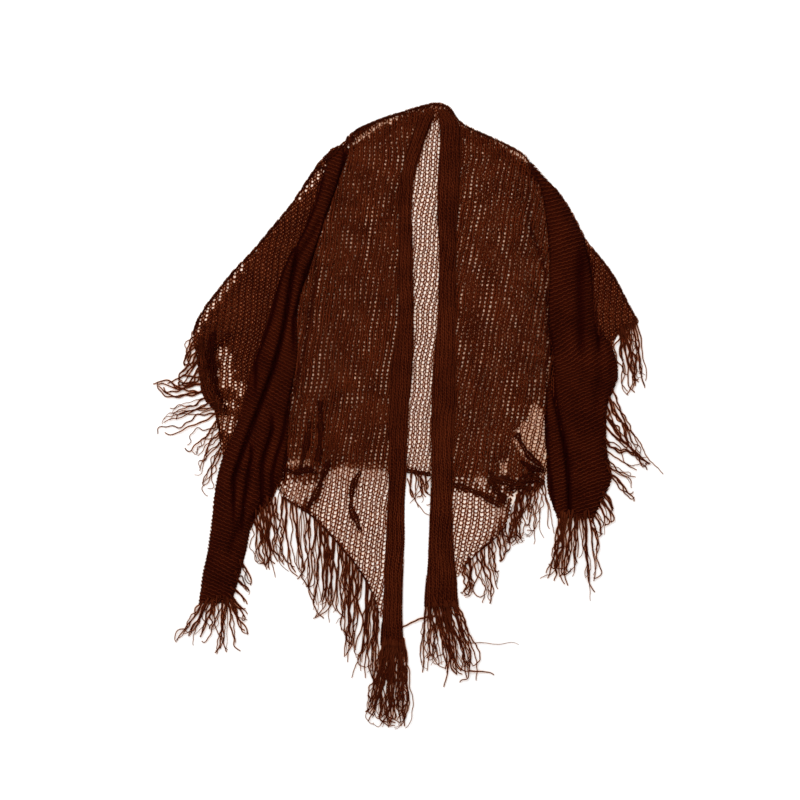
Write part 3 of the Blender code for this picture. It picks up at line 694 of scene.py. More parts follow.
def stitch_mesh(knit, yarn):
    """One stitch: a loop of yarn across its wale, with open ends that meet its neighbours'."""
    bm = bmesh.new()
    bm.loops.layers.uv.new("yarn")
    crown = bm.verts.layers.float.new("crown")
    bmesh.ops.create_grid(bm, x_segments=knit.parts, y_segments=YARN_SIDES, size=0.5, calc_uvs=True)
    width = knit.width / 2
    depth = yarn.depth / MM / 2
    for vert in bm.verts:
        along = vert.co.x + 0.5
        turn = math.tau * (vert.co.y + FIRST_SIDE)
        centre = loop_point(along, knit, yarn)
        heading = loop_point(along + PROBE, knit, yarn) - loop_point(along - PROBE, knit, yarn)
        side = Vector((-heading.y, heading.x, 0)).normalized()
        vert.co = centre + side * width * math.cos(turn)
        vert.co.z += depth * math.sin(turn)
        # The upper side of the yarn: painted lighter than its edges as a painted highlight, and kept
        # clear of the see-through fuzz.
        vert[crown] = 1.0 if math.sin(turn) > 0 else 0.0
    bmesh.ops.remove_doubles(bm, verts=bm.verts, dist=SAME_POINT)
    bmesh.ops.scale(bm, vec=(MM, MM, MM), verts=bm.verts)
    mesh = bpy.data.meshes.new("stitch")
    bm.to_mesh(mesh)
    bm.free()
    return mesh


def array_of(mesh, steps):
    """A mesh of copies side by side. steps gives the count and the offset along each axis."""
    stitch = bpy.data.objects.new("stitch", mesh)
    bpy.context.scene.collection.objects.link(stitch)
    for count, offset in steps:
        repeat = stitch.modifiers.new("repeat", "ARRAY")
        repeat.use_relative_offset = False
        repeat.use_constant_offset = True
        repeat.constant_offset_displace = offset
        repeat.count = count
    bpy.context.view_layer.update()
    graph = bpy.context.evaluated_depsgraph_get()
    copies = bpy.data.meshes.new_from_object(stitch.evaluated_get(graph))
    bpy.data.objects.remove(stitch)
    return copies


def wandering(x, y, amount, size, seed):
    """A slow drift of the yarn, sideways and lengthways."""
    drift = noise.noise_vector(Vector((x / size, y / size, seed)))
    return amount * drift.x, amount * drift.y


def knit_over(bm, knit, yarn, wales, courses, place, wanted):
    """Adds stitches side by side to bm, without those that aren't wanted, and lays each point.

    place takes a point of the flat knit in millimetres, across and along, with its height over
    the yarn's lowest point and the knit's thickness, and gives where it comes to lie and the
    light painted on it, which paints shade in hollows, folds and darker parts. The count of stitches
    is returned.
    """
    stitch = stitch_mesh(knit, yarn)
    size = len(stitch.vertices)
    steps = ((wales, (knit.wale * MM, 0, 0)), (courses, (0, knit.course * MM, 0)))
    copies = array_of(stitch, steps)
    flat = bmesh.new()
    flat.from_mesh(copies)
    light = flat.verts.layers.float.new("light")
    bpy.data.meshes.remove(copies)
    bpy.data.meshes.remove(stitch)
    start_u = -(wales // 2) * knit.wale
    start_v = -(courses // 2) * knit.course
    keep = [
        wanted(start_u + k % wales * knit.wale, start_v + k // wales * knit.course)
        for k in range(wales * courses)
    ]
    lost = [vert for vert in flat.verts if not keep[vert.index // size]]
    bmesh.ops.delete(flat, geom=lost, context="VERTS")
    bmesh.ops.remove_doubles(flat, verts=flat.verts, dist=JOIN)
    ends = [edge for edge in flat.edges if edge.is_boundary]
    bmesh.ops.holes_fill(flat, edges=ends, sides=YARN_SIDES)
    thick = yarn.depth / 2 + abs(knit.relief) * MM
    for vert in flat.verts:
        u = vert.co.x / MM + start_u
        v = vert.co.y / MM + start_v
        rise = vert.co.z + thick
        *vert.co, painted_light = place(u, v, rise, 2 * thick)
        # Painted shade: the yarn is painted darker where it lies low in the knit.
        vert[light] = painted_light * (1 - RISE_SHADE + RISE_SHADE * rise / (2 * thick))
    bmesh.ops.recalc_face_normals(flat, faces=flat.faces)
    laid = bpy.data.meshes.new("laid")
    flat.to_mesh(laid)
    flat.free()
    bm.from_mesh(laid)
    bpy.data.meshes.remove(laid)
    return sum(keep)


def knit_panel(knit, top, yarn, seed):
    """Knits one layer over its solid and gives the piece with the flat area of its stitches."""
    line = Line(knit.lean) if knit.lean else None
    slope = Line(knit.slope) if isinstance(knit.slope, tuple) else None
    steepest = max(abs(value) for value in slope.value) if slope else abs(knit.slope)
    folds = [(Line(fold.path), fold) for fold in knit.folds]
    gathered = knit.node in GATHERED
    # Painted shade: how much darker this part's yarn is painted.
    shade = SHADES.get(knit.node, 1.0)
    half = (top.high.x - top.low.x) / 2 / MM
    if line:
        half = max(abs(p.x / MM - line(p.y / MM)) for p in top.outline)
    wales = math.ceil(2 * half / knit.wale) + 2
    tall = (top.high.y - top.low.y) / MM + 2 * steepest * half
    courses = math.ceil(tall / knit.course) + 2
    uneven = yarn.uneven / MM * sway(knit.curve)
    base_x = top.middle.x / MM
    base_y = top.middle.y / MM

    def laid(u, v):
        """Where a point of the flat knit comes to lie."""
        y = base_y + v + knit.shift[1]
        y += (slope(y) if slope else knit.slope) * u
        x = (line(y) if line else base_x) + u + knit.shift[0]
        dx, dy = wandering(x, y, yarn.drift / MM, DRIFT_SIZE, seed)
        ex, ey = wandering(x, y, uneven, STRAY_SIZE, seed + STRAY_SEED)
        return (x + dx + ex) * MM, (y + dy + ey) * MM

    def wanted(u, v):
        """True for a stitch on the solid, where this layer doesn't leave off."""
        x, y = laid(u, v)
        if any(within(corners, x / MM, y / MM) for corners in knit.gaps):
            return False
        if knit.only and not any(within(corners, x / MM, y / MM) for corners in knit.only):
            return False
        return top.holds(x, y, knit.inset)

    def place(u, v, rise, full):
        """A point laid on the solid, with the light painted on it: painted shade beside higher cloth,
        in folds and on darker parts.
        """
        x, y, height = top.onto(*laid(u, v), SPILL)
        # Painted shade on gathered cloth where higher cloth stands close by.
        painted_light = shade * (top.painted_light(x, y) if gathered else 1.0)
        if folds:
            sink = fold_height(folds, x / MM, y / MM)
            height += sink * MM
            # Painted shade in the fold's sunk trough.
            painted_light *= math.exp(min(sink, 0) / FOLD_SHADE)
        height -= knit.sunk * MM
        return x, y, max(height - full, LOWEST) + rise, painted_light

    bm = bmesh.new()
    count = knit_over(bm, knit, yarn, wales, courses, place, wanted)
    return add_piece(knit.name, bm, knit.node), count * knit.wale * knit.course * MM * MM


def tuck_strip(bm, tuck, top, knit, yarn, shade):
    """A narrow fold or a hem: a few tight wales along a path, arched over the cloth below."""
    path = Path(tuck.path)
    wales = max(2, round(2 * tuck.half / knit.wale))
    courses = max(2, round(path.length / knit.course))

    def place(u, v, rise, full):
        """A point laid along the path, higher in the middle of the tuck and painted lighter there,
        with painted shade towards its feet.
        """
        along = v + path.length / 2
        thin = smooth(min(along, path.length - along) / (TUCK_END * tuck.half) + TUCK_END_WIDTH)
        swell = TUCK_SWELL * math.sin(along / TUCK_SWELL_LENGTH + tuck.half)
        thin *= TUCK_EVEN + swell + TUCK_RIPPLE * math.sin(along / TUCK_RIPPLE_LENGTH)
        point = path(along) + path.side(along) * u * thin
        x, y, height = top.onto(point.x * MM, point.y * MM, SPILL + tuck.spill)
        arch = max(0.0, 1 - (u / tuck.half) ** 2)
        dx, dy = wandering(point.x, point.y, TUCK_WANDER * tuck.half, TUCK_WANDER_SIZE, tuck.half)
        bottom = max(height - full / 2, full / 2 + LOWEST) + arch * tuck.rise * thin * MM
        # Painted shade: darker at the tuck's feet, lighter on its arch, and banded along it.
        light = shade * tuck.light * (TUCK_FOOT_LIGHT + (1 - TUCK_FOOT_LIGHT) * arch)
        light *= TUCK_EVEN + TUCK_BAND * math.sin(along / TUCK_BAND_LENGTH + u)
        return x + dx * MM, y + dy * MM, bottom + rise, light

    middle_u = (wales // 2 - (wales - 1) / 2) * knit.wale
    middle_v = (courses // 2 - (courses - 1) / 2) * knit.course

    def centred(u, v, rise, full):
        """The same with the strip's middle on the path."""
        return place(u + middle_u, v + middle_v, rise, full)

    knit_over(bm, knit, yarn, wales, courses, centred, lambda u, v: True)


def edge_path(points, top):
    """The path moved onto the solid's outline, half a cord inside it."""
    path = Path(points)
    count = math.ceil(path.length / EDGE_STEP)
    moved = []
    for k in range(count + 1):
        along = path.length * k / count
        point = path(along) * MM
        edge = top.nearest.find(Vector((point.x, point.y, 0)))[0]
        side = path.side(along) * HEM_HALF * MM
        if top.height(edge.x + side.x, edge.y + side.y) is None:
            side = -side
        moved.append(((edge.x + side.x) / MM, (edge.y + side.y) / MM))
    return tuple(moved)


def hem_path(locks):
    """The line along a hem where its strands are knotted, a little inside the cloth."""
    path = []
    for lock in locks:
        root, tip = Vector(lock.root), Vector(lock.tip)
        point = root - (tip - root).normalized() * HEM_INSIDE
        path.append((point.x, point.y))
    return tuple(path)


def grid_over(node, top, cell):
    """A grid over a solid's outline."""
    size = top.high - top.low
    bm = bmesh.new()
    columns = math.ceil(size.x / cell)
    rows = math.ceil(size.y / cell)
    bmesh.ops.create_grid(bm, x_segments=columns, y_segments=rows, size=0.5)
    bmesh.ops.scale(bm, vec=(size.x, size.y, 1), verts=bm.verts)
    bmesh.ops.translate(bm, vec=(top.middle.x, top.middle.y, 0), verts=bm.verts)
    outside = [face for face in bm.faces if not top.holds(*face.calc_center_median()[:2], -CORE_REACH)]
    bmesh.ops.delete(bm, geom=outside, context="FACES")
    return bm


def core_piece(node, top, folds):
    """The cloth gathered inside pleats and rolls: a closed shell just under their stitches."""
    lines = [(Line(fold.path), fold) for fold in folds]
    bm = grid_over(node, top, CORE_CELL)
    light = bm.verts.layers.float.new("light")
    shell = bmesh.ops.extrude_face_region(bm, geom=list(bm.faces))["geom"]
    raised = {part for part in shell if isinstance(part, bmesh.types.BMVert)}
    for vert in bm.verts:
        x, y, height = top.onto(vert.co.x, vert.co.y, 0.0)
        sink = fold_height(lines, x / MM, y / MM)
        upper = max(height + sink * MM - CORE_SUNK, CORE_LOWEST)
        vert.co = (x, y, upper if vert in raised else CORE_BASE)
        # Painted shade: the cloth in the pleats' and rolls' depths is painted dark, darker still
        # beside higher cloth and in folds.
        vert[light] = top.painted_light(x, y) * math.exp(min(sink, 0) / FOLD_SHADE) * CORE_SHADE
    bmesh.ops.recalc_face_normals(bm, faces=bm.faces)
    return add_piece(node + "_inside", bm, node)


def haze_piece(node, top):
    """The haze of fine fibres within one layer of open knit."""
    bm = grid_over(node, top, HAZE_CELL)
    for vert in bm.verts:
        x, y, height = top.onto(vert.co.x, vert.co.y, 0.0)
        vert.co = (x, y, height - HAZE_SUNK)
    return add_piece(node + "_haze", bm, node)


def add_piece(name, bm, *nodes):
    """A finished piece from a bmesh, riding with the shawl and standing for its solids."""
    mesh = bpy.data.meshes.new(name)
    bm.to_mesh(mesh)
    bm.free()
    mesh.shade_smooth()
    piece = bpy.data.objects.new(name, mesh)
    bpy.context.scene.collection.objects.link(piece)
    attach(piece, "root")
    if nodes:
        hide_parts(*nodes)
    return piece


def math_node(tree, operation, *values):
    """A maths node. Each value is a socket or a number."""
    node = tree.nodes.new("ShaderNodeMath")
    node.operation = operation
    for socket, value in zip(node.inputs, values):
        if isinstance(value, bpy.types.NodeSocket):
            tree.links.new(value, socket)
        else:
            socket.default_value = value
    return node.outputs["Value"]


def attribute_node(tree, name):
    """The value of one of the mesh's own attributes."""
    node = tree.nodes.new("ShaderNodeAttribute")
    node.attribute_name = name
    return node.outputs["Fac"]


def noise_node(tree, place, scale, detail):
    """A noise pattern in the cloth."""
    node = tree.nodes.new("ShaderNodeTexNoise")
    node.inputs["Scale"].default_value = scale
    node.inputs["Detail"].default_value = detail
    tree.links.new(place, node.inputs["Vector"])
    return node.outputs["Fac"]


def tone_node(tree, value, span, low, high):
    """A colour between low and high, as the value goes over its span."""
    tone = tree.nodes.new("ShaderNodeValToRGB")
    for element, position, colour in zip(tone.color_ramp.elements, span, (low, high)):
        element.position = position
        element.color = (*colour[:3], 1.0)
    tree.links.new(value, tone.inputs["Fac"])
    return tone.outputs["Color"]


def new_material(name):
    """A material with its node tree and the place on the cloth that its patterns read."""
    material = bpy.data.materials.new(name)
    material.use_nodes = True
    tree = material.node_tree
    return material, tree, tree.nodes.new("ShaderNodeTexCoord").outputs["Object"]


def plied_grain(tree, grain):
    """The grain with the turns of the yarn's ply, along the yarn's own UV map."""
    uv = tree.nodes.new("ShaderNodeUVMap")
    uv.uv_map = "yarn"
    split = tree.nodes.new("ShaderNodeSeparateXYZ")
    tree.links.new(uv.outputs["UV"], split.inputs["Vector"])
    turn = math_node(tree, "MULTIPLY_ADD", split.outputs["X"], PLY_TURNS, split.outputs["Y"])
    ply = math_node(tree, "SINE", math_node(tree, "MULTIPLY", turn, math.tau))
    return math_node(tree, "MULTIPLY_ADD", ply, PLY_DEPTH, grain)


def fuzz_over(tree, shader, colours, fleck, crown):
    """Leaves the yarn's ragged edges see-through, as loose fuzz is."""
    ragged = math_node(tree, "MULTIPLY_ADD", fleck, RAGGED, crown)
    start = 0.5 - FUZZ_EDGE * (colours.fuzz + RAGGED / 2)
    cover = math_node(tree, "MULTIPLY_ADD", ragged, FUZZ_EDGE, start)
    cover = math_node(tree, "MINIMUM", math_node(tree, "MAXIMUM", cover, 0.0), 1.0)
    veil = tree.nodes.new("ShaderNodeBsdfTransparent")
    veil.inputs["Color"].default_value = (*colours.veil, 1.0)
    mixed = tree.nodes.new("ShaderNodeMixShader")
    tree.links.new(cover, mixed.inputs["Fac"])
    tree.links.new(veil.outputs["BSDF"], mixed.inputs[1])
    tree.links.new(shader.outputs["BSDF"], mixed.inputs[2])
    tree.links.new(mixed.outputs["Shader"], tree.nodes["Material Output"].inputs["Surface"])


def yarn_material(name, colours, light, dark, plied, fuzzy):
    """Wool yarn: a twisted ply, tones that drift over the cloth, painted shade in its depths and on
    its edges, and a soft nap.
    """
    material, tree, place = new_material(name)
    shader = tree.nodes["Principled BSDF"]
    shader.inputs["Roughness"].default_value = YARN_ROUGH
    shader.inputs["Specular IOR Level"].default_value = YARN_GLOSS
    shader.inputs["Sheen Weight"].default_value = colours.sheen
    shader.inputs["Sheen Roughness"].default_value = NAP_ROUGH
    shader.inputs["Sheen Tint"].default_value = (*light[:3], 1.0)

    drift = noise_node(tree, place, *DRIFT_NOISE)
    fleck = noise_node(tree, place, *FLECK_NOISE)
    slow = math_node(tree, "MULTIPLY", drift, 1 - FLECK_SHARE)
    grain = math_node(tree, "MULTIPLY_ADD", fleck, FLECK_SHARE, slow)
    if plied:
        grain = plied_grain(tree, grain)
    tone = tone_node(tree, grain, TONE_RANGE, dark, light)
    # Painted shade: the mesh's light attribute, low where the yarn is painted in shade.
    bright = attribute_node(tree, "light")
    if fuzzy:
        # Painted highlight and shade: the yarn's crest is painted lighter, its edges darker.
        crown = attribute_node(tree, "crown")
        rounded = math_node(tree, "MULTIPLY_ADD", crown, 1 - colours.edge, colours.edge)
        bright = math_node(tree, "MULTIPLY", bright, rounded)
        fuzz_over(tree, shader, colours, fleck, crown)
    # The base colour: the tone, mixed towards the deep colour where painted shade falls.
    shaded = tree.nodes.new("ShaderNodeMixRGB")
    shaded.inputs["Color1"].default_value = (*colours.deep, 1.0)
    tree.links.new(bright, shaded.inputs["Fac"])
    tree.links.new(tone, shaded.inputs["Color2"])
    tree.links.new(shaded.outputs["Color"], shader.inputs["Base Color"])

    bump = tree.nodes.new("ShaderNodeBump")
    bump.inputs["Strength"].default_value = BUMP_STRENGTH
    bump.inputs["Distance"].default_value = BUMP_HEIGHT
    tree.links.new(grain, bump.inputs["Height"])
    tree.links.new(bump.outputs["Normal"], shader.inputs["Normal"])
    return material


def haze_material(colours):
    """The fine fibres that stand off the yarn and tint what shows through the knit's holes."""
    material, tree, place = new_material("fibre_haze")
    fibres = noise_node(tree, place, *HAZE_NOISE)
    veil = tree.nodes.new("ShaderNodeBsdfTransparent")
    tone = tone_node(tree, fibres, HAZE_RANGE, colours.haze, (1.0, 1.0, 1.0))
    tree.links.new(tone, veil.inputs["Color"])
    tree.links.new(veil.outputs["BSDF"], tree.nodes["Material Output"].inputs["Surface"])
    return material


def dress(piece, material):
    """Gives a piece its material."""
    piece.data.materials.clear()
    piece.data.materials.append(material)


# The layers of knit on each solid, the upper one first.
KNITS = {
    "back": (
        Knit("back_knit", "back", 8.0, 6.6, 2.4, 6, gaps=BACK_OPEN + SHOULDERS_OPEN, lean=BACK_LINE),
        Knit(
            "neck_under", "back", 8.0, 6.6, 3.4, 6, sunk=0.6, lean=BACK_LINE,
            only=(NECK,), gaps=SHOULDERS_OPEN, shift=(2.4, 1.6),
        ),
    ),
    "wing_left": (
        Knit(
            "wing_left_knit", "wing_left", 9.8, 6.1, 3.9, 7,
            lean=WING_LEFT_LINE, folds=WING_LEFT_FOLDS,
        ),
        Knit(
            "wing_left_under", "wing_left", 9.8, 6.1, 4.4, 6, sunk=0.8,
            lean=WING_LEFT_LINE, inset=1.0, gaps=WING_LEFT_OPEN, shift=(3.2, 2.2),
        ),
    ),
    "wing_right": (
        Knit("wing_right_knit", "wing_right", 9.8, 6.1, 3.8, 7, lean=WING_RIGHT_LINE, slope=0.1),
        Knit(
            "wing_right_under", "wing_right", 9.8, 6.1, 4.2, 6, sunk=0.8,
            lean=WING_RIGHT_LINE, slope=0.1, inset=1.0, shift=(3.0, 2.1),
        ),
    ),
    "front_left": (
        Knit(
            "front_left_knit", "front_left", 9.0, 6.6, 2.8, 7,
            lean=FRONT_LEFT_LINE, slope=FRONT_LEFT_SLOPE, folds=FRONT_LEFT_FOLDS,
        ),
        Knit(
            "front_left_under", "front_left", 9.0, 6.6, 3.35, 6, sunk=0.8,
            lean=FRONT_LEFT_LINE, slope=FRONT_LEFT_SLOPE,
            gaps=FRONT_LEFT_OPEN + SHOULDERS_OPEN, shift=(1.1, 0.7),
        ),
    ),
    "front_right": (
        Knit(
            "front_right_knit", "front_right", 9.8, 6.5, 2.9, 7,
            lean=FRONT_RIGHT_LINE, folds=FRONT_RIGHT_FOLDS, gaps=(HOLE,),
        ),
        Knit(
            "front_right_under", "front_right", 9.8, 6.5, 3.3, 6, sunk=0.8,
            lean=FRONT_RIGHT_LINE, gaps=FRONT_RIGHT_OPEN + SHOULDERS_OPEN, shift=(1.0, 0.5),
        ),
    ),
    "pleats_left": (
        Knit(
            "pleats_left_knit", "pleats_left", 7.6, 5.9, 4.3, 6, relief=-0.25,
            lean=PLEATS_LEFT_LINE, folds=PLEATS_LEFT_FOLDS, curve=0.1,
            slope=((-300, -0.35), (60, -0.5), (250, -0.4), (450, -0.25)),
        ),
    ),
    "pleats_right": (
        Knit(
            "pleats_right_knit", "pleats_right", 7.6, 6.1, 4.5, 6, relief=-0.25,
            lean=PLEATS_RIGHT_LINE, folds=PLEATS_RIGHT_FOLDS, curve=0.1,
            slope=((-150, 0.3), (40, 0.5), (226, 0.4), (400, 0.15)),
        ),
    ),
    "edge_roll_left": (
        Knit(
            "edge_roll_left_knit", "edge_roll_left", 6.6, 5.4, 3.0, 6, relief=0.5,
            lean=ROLL_LEFT_LINE,
        ),
    ),
    "edge_roll_right": (
        Knit(
            "edge_roll_right_knit", "edge_roll_right", 6.6, 5.4, 3.0, 6, relief=0.5,
            lean=ROLL_RIGHT_LINE,
        ),
    ),
}
GATHERED = ("pleats_left", "pleats_right", "edge_roll_left", "edge_roll_right")
# The knit of the tucks and of the hems.
TUCKED = Knit("tuck", "", 5.4, 4.8, 3.1, 6, 0.5)
HEMMED = Knit("hem", "", 2.0, 4.4, 2.2, 5, 0.4)


class ShawlKnit(bpy.types.PropertyGroup):
    """The stitches"""

    depth: FloatProperty(
        name="Yarn thickness",
        description="Thickness of the flattened yarn",
        default=0.0014,
        unit="LENGTH",
    )
    reach: FloatProperty(
        name="Loop reach", description="Half height of a loop, in courses", default=0.82
    )
    swell: FloatProperty(
        name="Loop swell", description="How far a loop's head is wider than its neck", default=0.85
    )
    narrow: FloatProperty(
        name="Narrow loops", description="How far a loop's legs stand closer together", default=0.08
    )
    drift: FloatProperty(
        name="Drift", description="How far the wales wander", default=0.005, unit="LENGTH"
    )
    uneven: FloatProperty(
        name="Unevenness",
        description="How far single stitches stray",
        default=0.0018,
        unit="LENGTH",
    )


class ShawlFringe(bpy.types.PropertyGroup):
    """The loose strands"""

    radius: FloatProperty(
        name="Strand radius",
        description="Radius of a loose strand",
        default=0.0017,
        unit="LENGTH",
    )
    curl: FloatProperty(name="Curl", description="How strongly a strand winds", default=1.0)


class ShawlColours(bpy.types.PropertyGroup):
    """The yarn's tones"""

    yarn: FloatVectorProperty(
        name="Yarn",
        description="Lighter tone of the yarn",
        subtype="COLOR",
        default=(0.162, 0.0295, 0.0080),
    )
    shade: FloatVectorProperty(
        name="Shade",
        description="Darker tone of the yarn",
        subtype="COLOR",
        default=(0.060, 0.0085, 0.0022),
    )
    # Painted shade: the darker tone of the under layers and of the cloth inside the pleats and rolls,
    # which lie in shadow.
    inside: FloatVectorProperty(
        name="Inside",
        description="Tone of the cloth inside folds",
        subtype="COLOR",
        default=(0.012, 0.0024, 0.001),
    )
    fringe: FloatVectorProperty(
        name="Fringe",
        description="Lighter tone of the loose strands",
        subtype="COLOR",
        default=(0.105, 0.0205, 0.0060),
    )
    deep: FloatVectorProperty(
        name="Deep",
        description="Tone of the yarn in deep shade",
        subtype="COLOR",
        default=(0.010, 0.0004, 0.0001),
    )
    haze: FloatVectorProperty(
        name="Haze",
        description="Tint of the fine fibres in the holes",
        subtype="COLOR",
        default=(0.99, 0.87, 0.77),
    )
    veil: FloatVectorProperty(
        name="Fuzz",
        description="Tint of what shows through the fuzz",
        subtype="COLOR",
        default=(0.93, 0.70, 0.56),
    )
    fuzz: FloatProperty(
        name="Fuzz width",
        description="Share of the yarn's half width that is loose fuzz",
        default=0.35,
    )
    # Painted shade: how dark the yarn's edges are painted against its lit crest.
    edge: FloatProperty(
        name="Edge tone",
        description="Brightness of the yarn's edges against its crest",
        default=0.15,
    )
    sheen: FloatProperty(name="Nap", description="Strength of the wool's soft nap", default=0.02)


class ShawlStage(bpy.types.PropertyGroup):
    """The camera and the light"""

    camera_height: FloatProperty(
        name="Camera height",
        description="Height of the camera over the floor",
        default=4.0,
        unit="LENGTH",
    )
    view_width: FloatProperty(
        name="View width",
        description="Width of floor in the picture",
        default=1.3333,
        unit="LENGTH",
    )
    sky: FloatProperty(name="Sky", description="Strength of the even light", default=0.9)
    lamp: FloatProperty(
        name="Lamp", description="Power of the overhead soft light in watts", default=60.0
    )


def strips_over(node, top, yarn):
    """A bmesh of the tucks, edges and hems on a solid."""
    strips = bmesh.new()
    for tuck in TUCKS:
        if tuck.node == node:
            tuck_strip(strips, tuck, top, TUCKED, yarn, TUCK_SHADE)
    for edge in EDGES:
        if edge.node == node:
            edge = edge._replace(path=edge_path(edge.path, top))
            tuck_strip(strips, edge, top, HEMMED, yarn, HEM_SHADE)
    for locks, cloth, *_ in FRINGES.values():
        if cloth == node:
            hem = Tuck(node, HEM_HALF, HEM_RISE, hem_path(locks))
            tuck_strip(strips, hem, top, HEMMED, yarn, HEM_SHADE)
    return strips


class SHAWL_OT_cloth(bpy.types.Operator):
    """Knit the back, the wings, the fronts, the pleats and the rolled edges"""

    bl_idname = "shawl.cloth"
    bl_label = "Knit the Cloth"

    def execute(self, context):
        scene = context.scene
        yarn = scene.shawl_knit
        colours = scene.shawl_colours
        noise.seed_set(KNIT_SEED)
        knitted = yarn_material("knitted_yarn", colours, colours.yarn, colours.shade, True, True)
        # Painted shade: a darker copy of the yarn for the under layers, which lie beneath the top
        # layer.
        shaded = yarn_material("shaded_yarn", colours, colours.shade, colours.inside, True, True)
        haze = haze_material(colours)
        # Painted shade: a still darker copy of the yarn, without ply or fuzz, for the cloth inside the
        # pleats and rolls.
        inner = yarn_material("inner_knit_painted_shade", colours, colours.shade, colours.inside, False, False)
        for seed, (node, layers) in enumerate(KNITS.items()):
            top = Top(node)
            if node in GATHERED:
                filling = core_piece(node, top, layers[0].folds)
                dress(filling, inner)
            else:
                filling = haze_piece(node, top)
                dress(filling, haze)
            strips = strips_over(node, top, yarn)
            if strips.verts:
                folds = add_piece(node + "_folds", strips)
                dress(folds, knitted)
            else:
                strips.free()
            for depth, knit in enumerate(layers):
                piece, area = knit_panel(knit, top, yarn, seed * DRIFT_BETWEEN)
                dress(piece, shaded if depth else knitted)
        return {"FINISHED"}


def strand_points(root, bend, tip, rng, wild, start, top):
    """Points along a loose strand from root past bend to tip, winding as unravelled yarn does."""
    length = (bend - root).length + (tip - bend).length
    parts = max(STRAND_PARTS, round(length / STRAND_PART))
    slow = rng.uniform(*SLOW_TURN) * wild
    fast = rng.uniform(*FAST_TURN) * wild
    long_wave = rng.uniform(*LONG_WAVE)
    short_wave = rng.uniform(*SHORT_WAVE)
    phases = [rng.uniform(0, math.tau) for _ in range(3)]
    hook = rng.uniform(-HOOK, HOOK) * wild
    place = root.copy()
    points = [place.copy()]
    for part in range(1, parts + 1):
        t = part / parts
        s = t * length
        heading = (bend - root).lerp(tip - bend, t)
        angle = math.atan2(heading.y, heading.x)
        ease = smooth(t / WINDS_FROM)
        angle += ease * slow * math.sin(math.tau * s / long_wave + phases[0])
        angle += ease * fast * math.sin(math.tau * s / short_wave + phases[1])
        angle += hook * smooth((t - HOOK_FROM) / (1 - HOOK_FROM))
        place = place + Vector((math.cos(angle), math.sin(angle))) * length / parts
        points.append(place.copy())
    miss = (tip - points[-1]) * BROUGHT_BACK
    laid = []
    before = 0.0
    for part, point in enumerate(points):
        t = part / parts
        point = point + miss * t
        lift = RISE_AND_FALL * math.sin(math.tau * t * length / long_wave + phases[2])
        height = max(start + lift, STRAND_LOWEST)
        below = top.height(point.x * MM, point.y * MM)
        if below is not None:
            height = max(height, below / MM + STRAND_OVER)
        height = max(height, before - STEEPEST * length / parts)
        before = height
        laid.append(Vector((point.x, point.y, height)))
    return laid


def scatter(rng, across, along):
    """A small step to any side."""
    return Vector((rng.uniform(-across, across), rng.uniform(-along, along)))


def bunches(locks, strays, count, inside, rng):
    """Root, bend and tip of each strand: in bunches, unevenly along the locks, some astray."""
    columns = zip(*[(*lock.root, *lock.bend, *lock.tip) for lock in locks])
    spread = [Line(list(enumerate(column))) for column in columns]
    made = 0
    while made < count:
        members = rng.choice(BUNCH)
        along = (made + members / 2 + rng.uniform(-0.5, 0.5)) * (len(locks) - 1) / count
        numbers = [line(along) for line in spread]
        root, bend, tip = (Vector(numbers[k : k + 2]) for k in (0, 2, 4))
        reach = rng.uniform(*BUNCH_REACH)
        apart = rng.choice(APART)
        deep = rng.uniform(*inside)
        for _ in range(members):
            part = reach * rng.uniform(*STRAND_REACH)
            start = root - (bend - root).normalized() * deep + scatter(rng, ROOT_SCATTER, ROOT_SCATTER)
            end = root.lerp(tip, part) + scatter(rng, apart, END_SCATTER)
            turn = root.lerp(bend, part) + scatter(rng, apart / 2, BEND_SCATTER)
            yield start, turn, end, rng.choice(WILD)
        made += members
    for stray in strays:
        yield Vector(stray.root), Vector(stray.bend), Vector(stray.tip), STRAY_WILD


def curve_mesh(curve):
    """The mesh of a curve with its bevel, merged and closed, as a bmesh."""
    holder = bpy.data.objects.new("strands", curve)
    bpy.context.scene.collection.objects.link(holder)
    graph = bpy.context.evaluated_depsgraph_get()
    mesh = bpy.data.meshes.new_from_object(holder.evaluated_get(graph))
    bpy.data.objects.remove(holder)
    bm = bmesh.new()
    bm.from_mesh(mesh)
    bpy.data.meshes.remove(mesh)
    bmesh.ops.remove_doubles(bm, verts=bm.verts, dist=JOIN)
    bmesh.ops.recalc_face_normals(bm, faces=bm.faces)
    bm.normal_update()
    return bm


def shade_strands(bm):
    """Marks the strands' upper sides to be painted lighter, and paints each point's light: painted
    shade, darker the nearer it lies to the floor.
    """
    crown = bm.verts.layers.float.new("crown")
    light = bm.verts.layers.float.new("light")
    for vert in bm.verts:
        x, y, z = vert.co / MM
        # Painted highlight: the upward-facing side of a strand is painted lighter.
        vert[crown] = max(0.0, vert.normal.z)
        streak = 1 - STREAK + STREAK * math.sin(STREAK_X * x + STREAK_Y * y)
        # Painted shade: darker the lower the point lies.
        raised = smooth((z - DARK_BELOW) / DARK_RANGE)
        vert[light] = streak * (FLOOR_LIGHT + (1 - FLOOR_LIGHT) * raised)


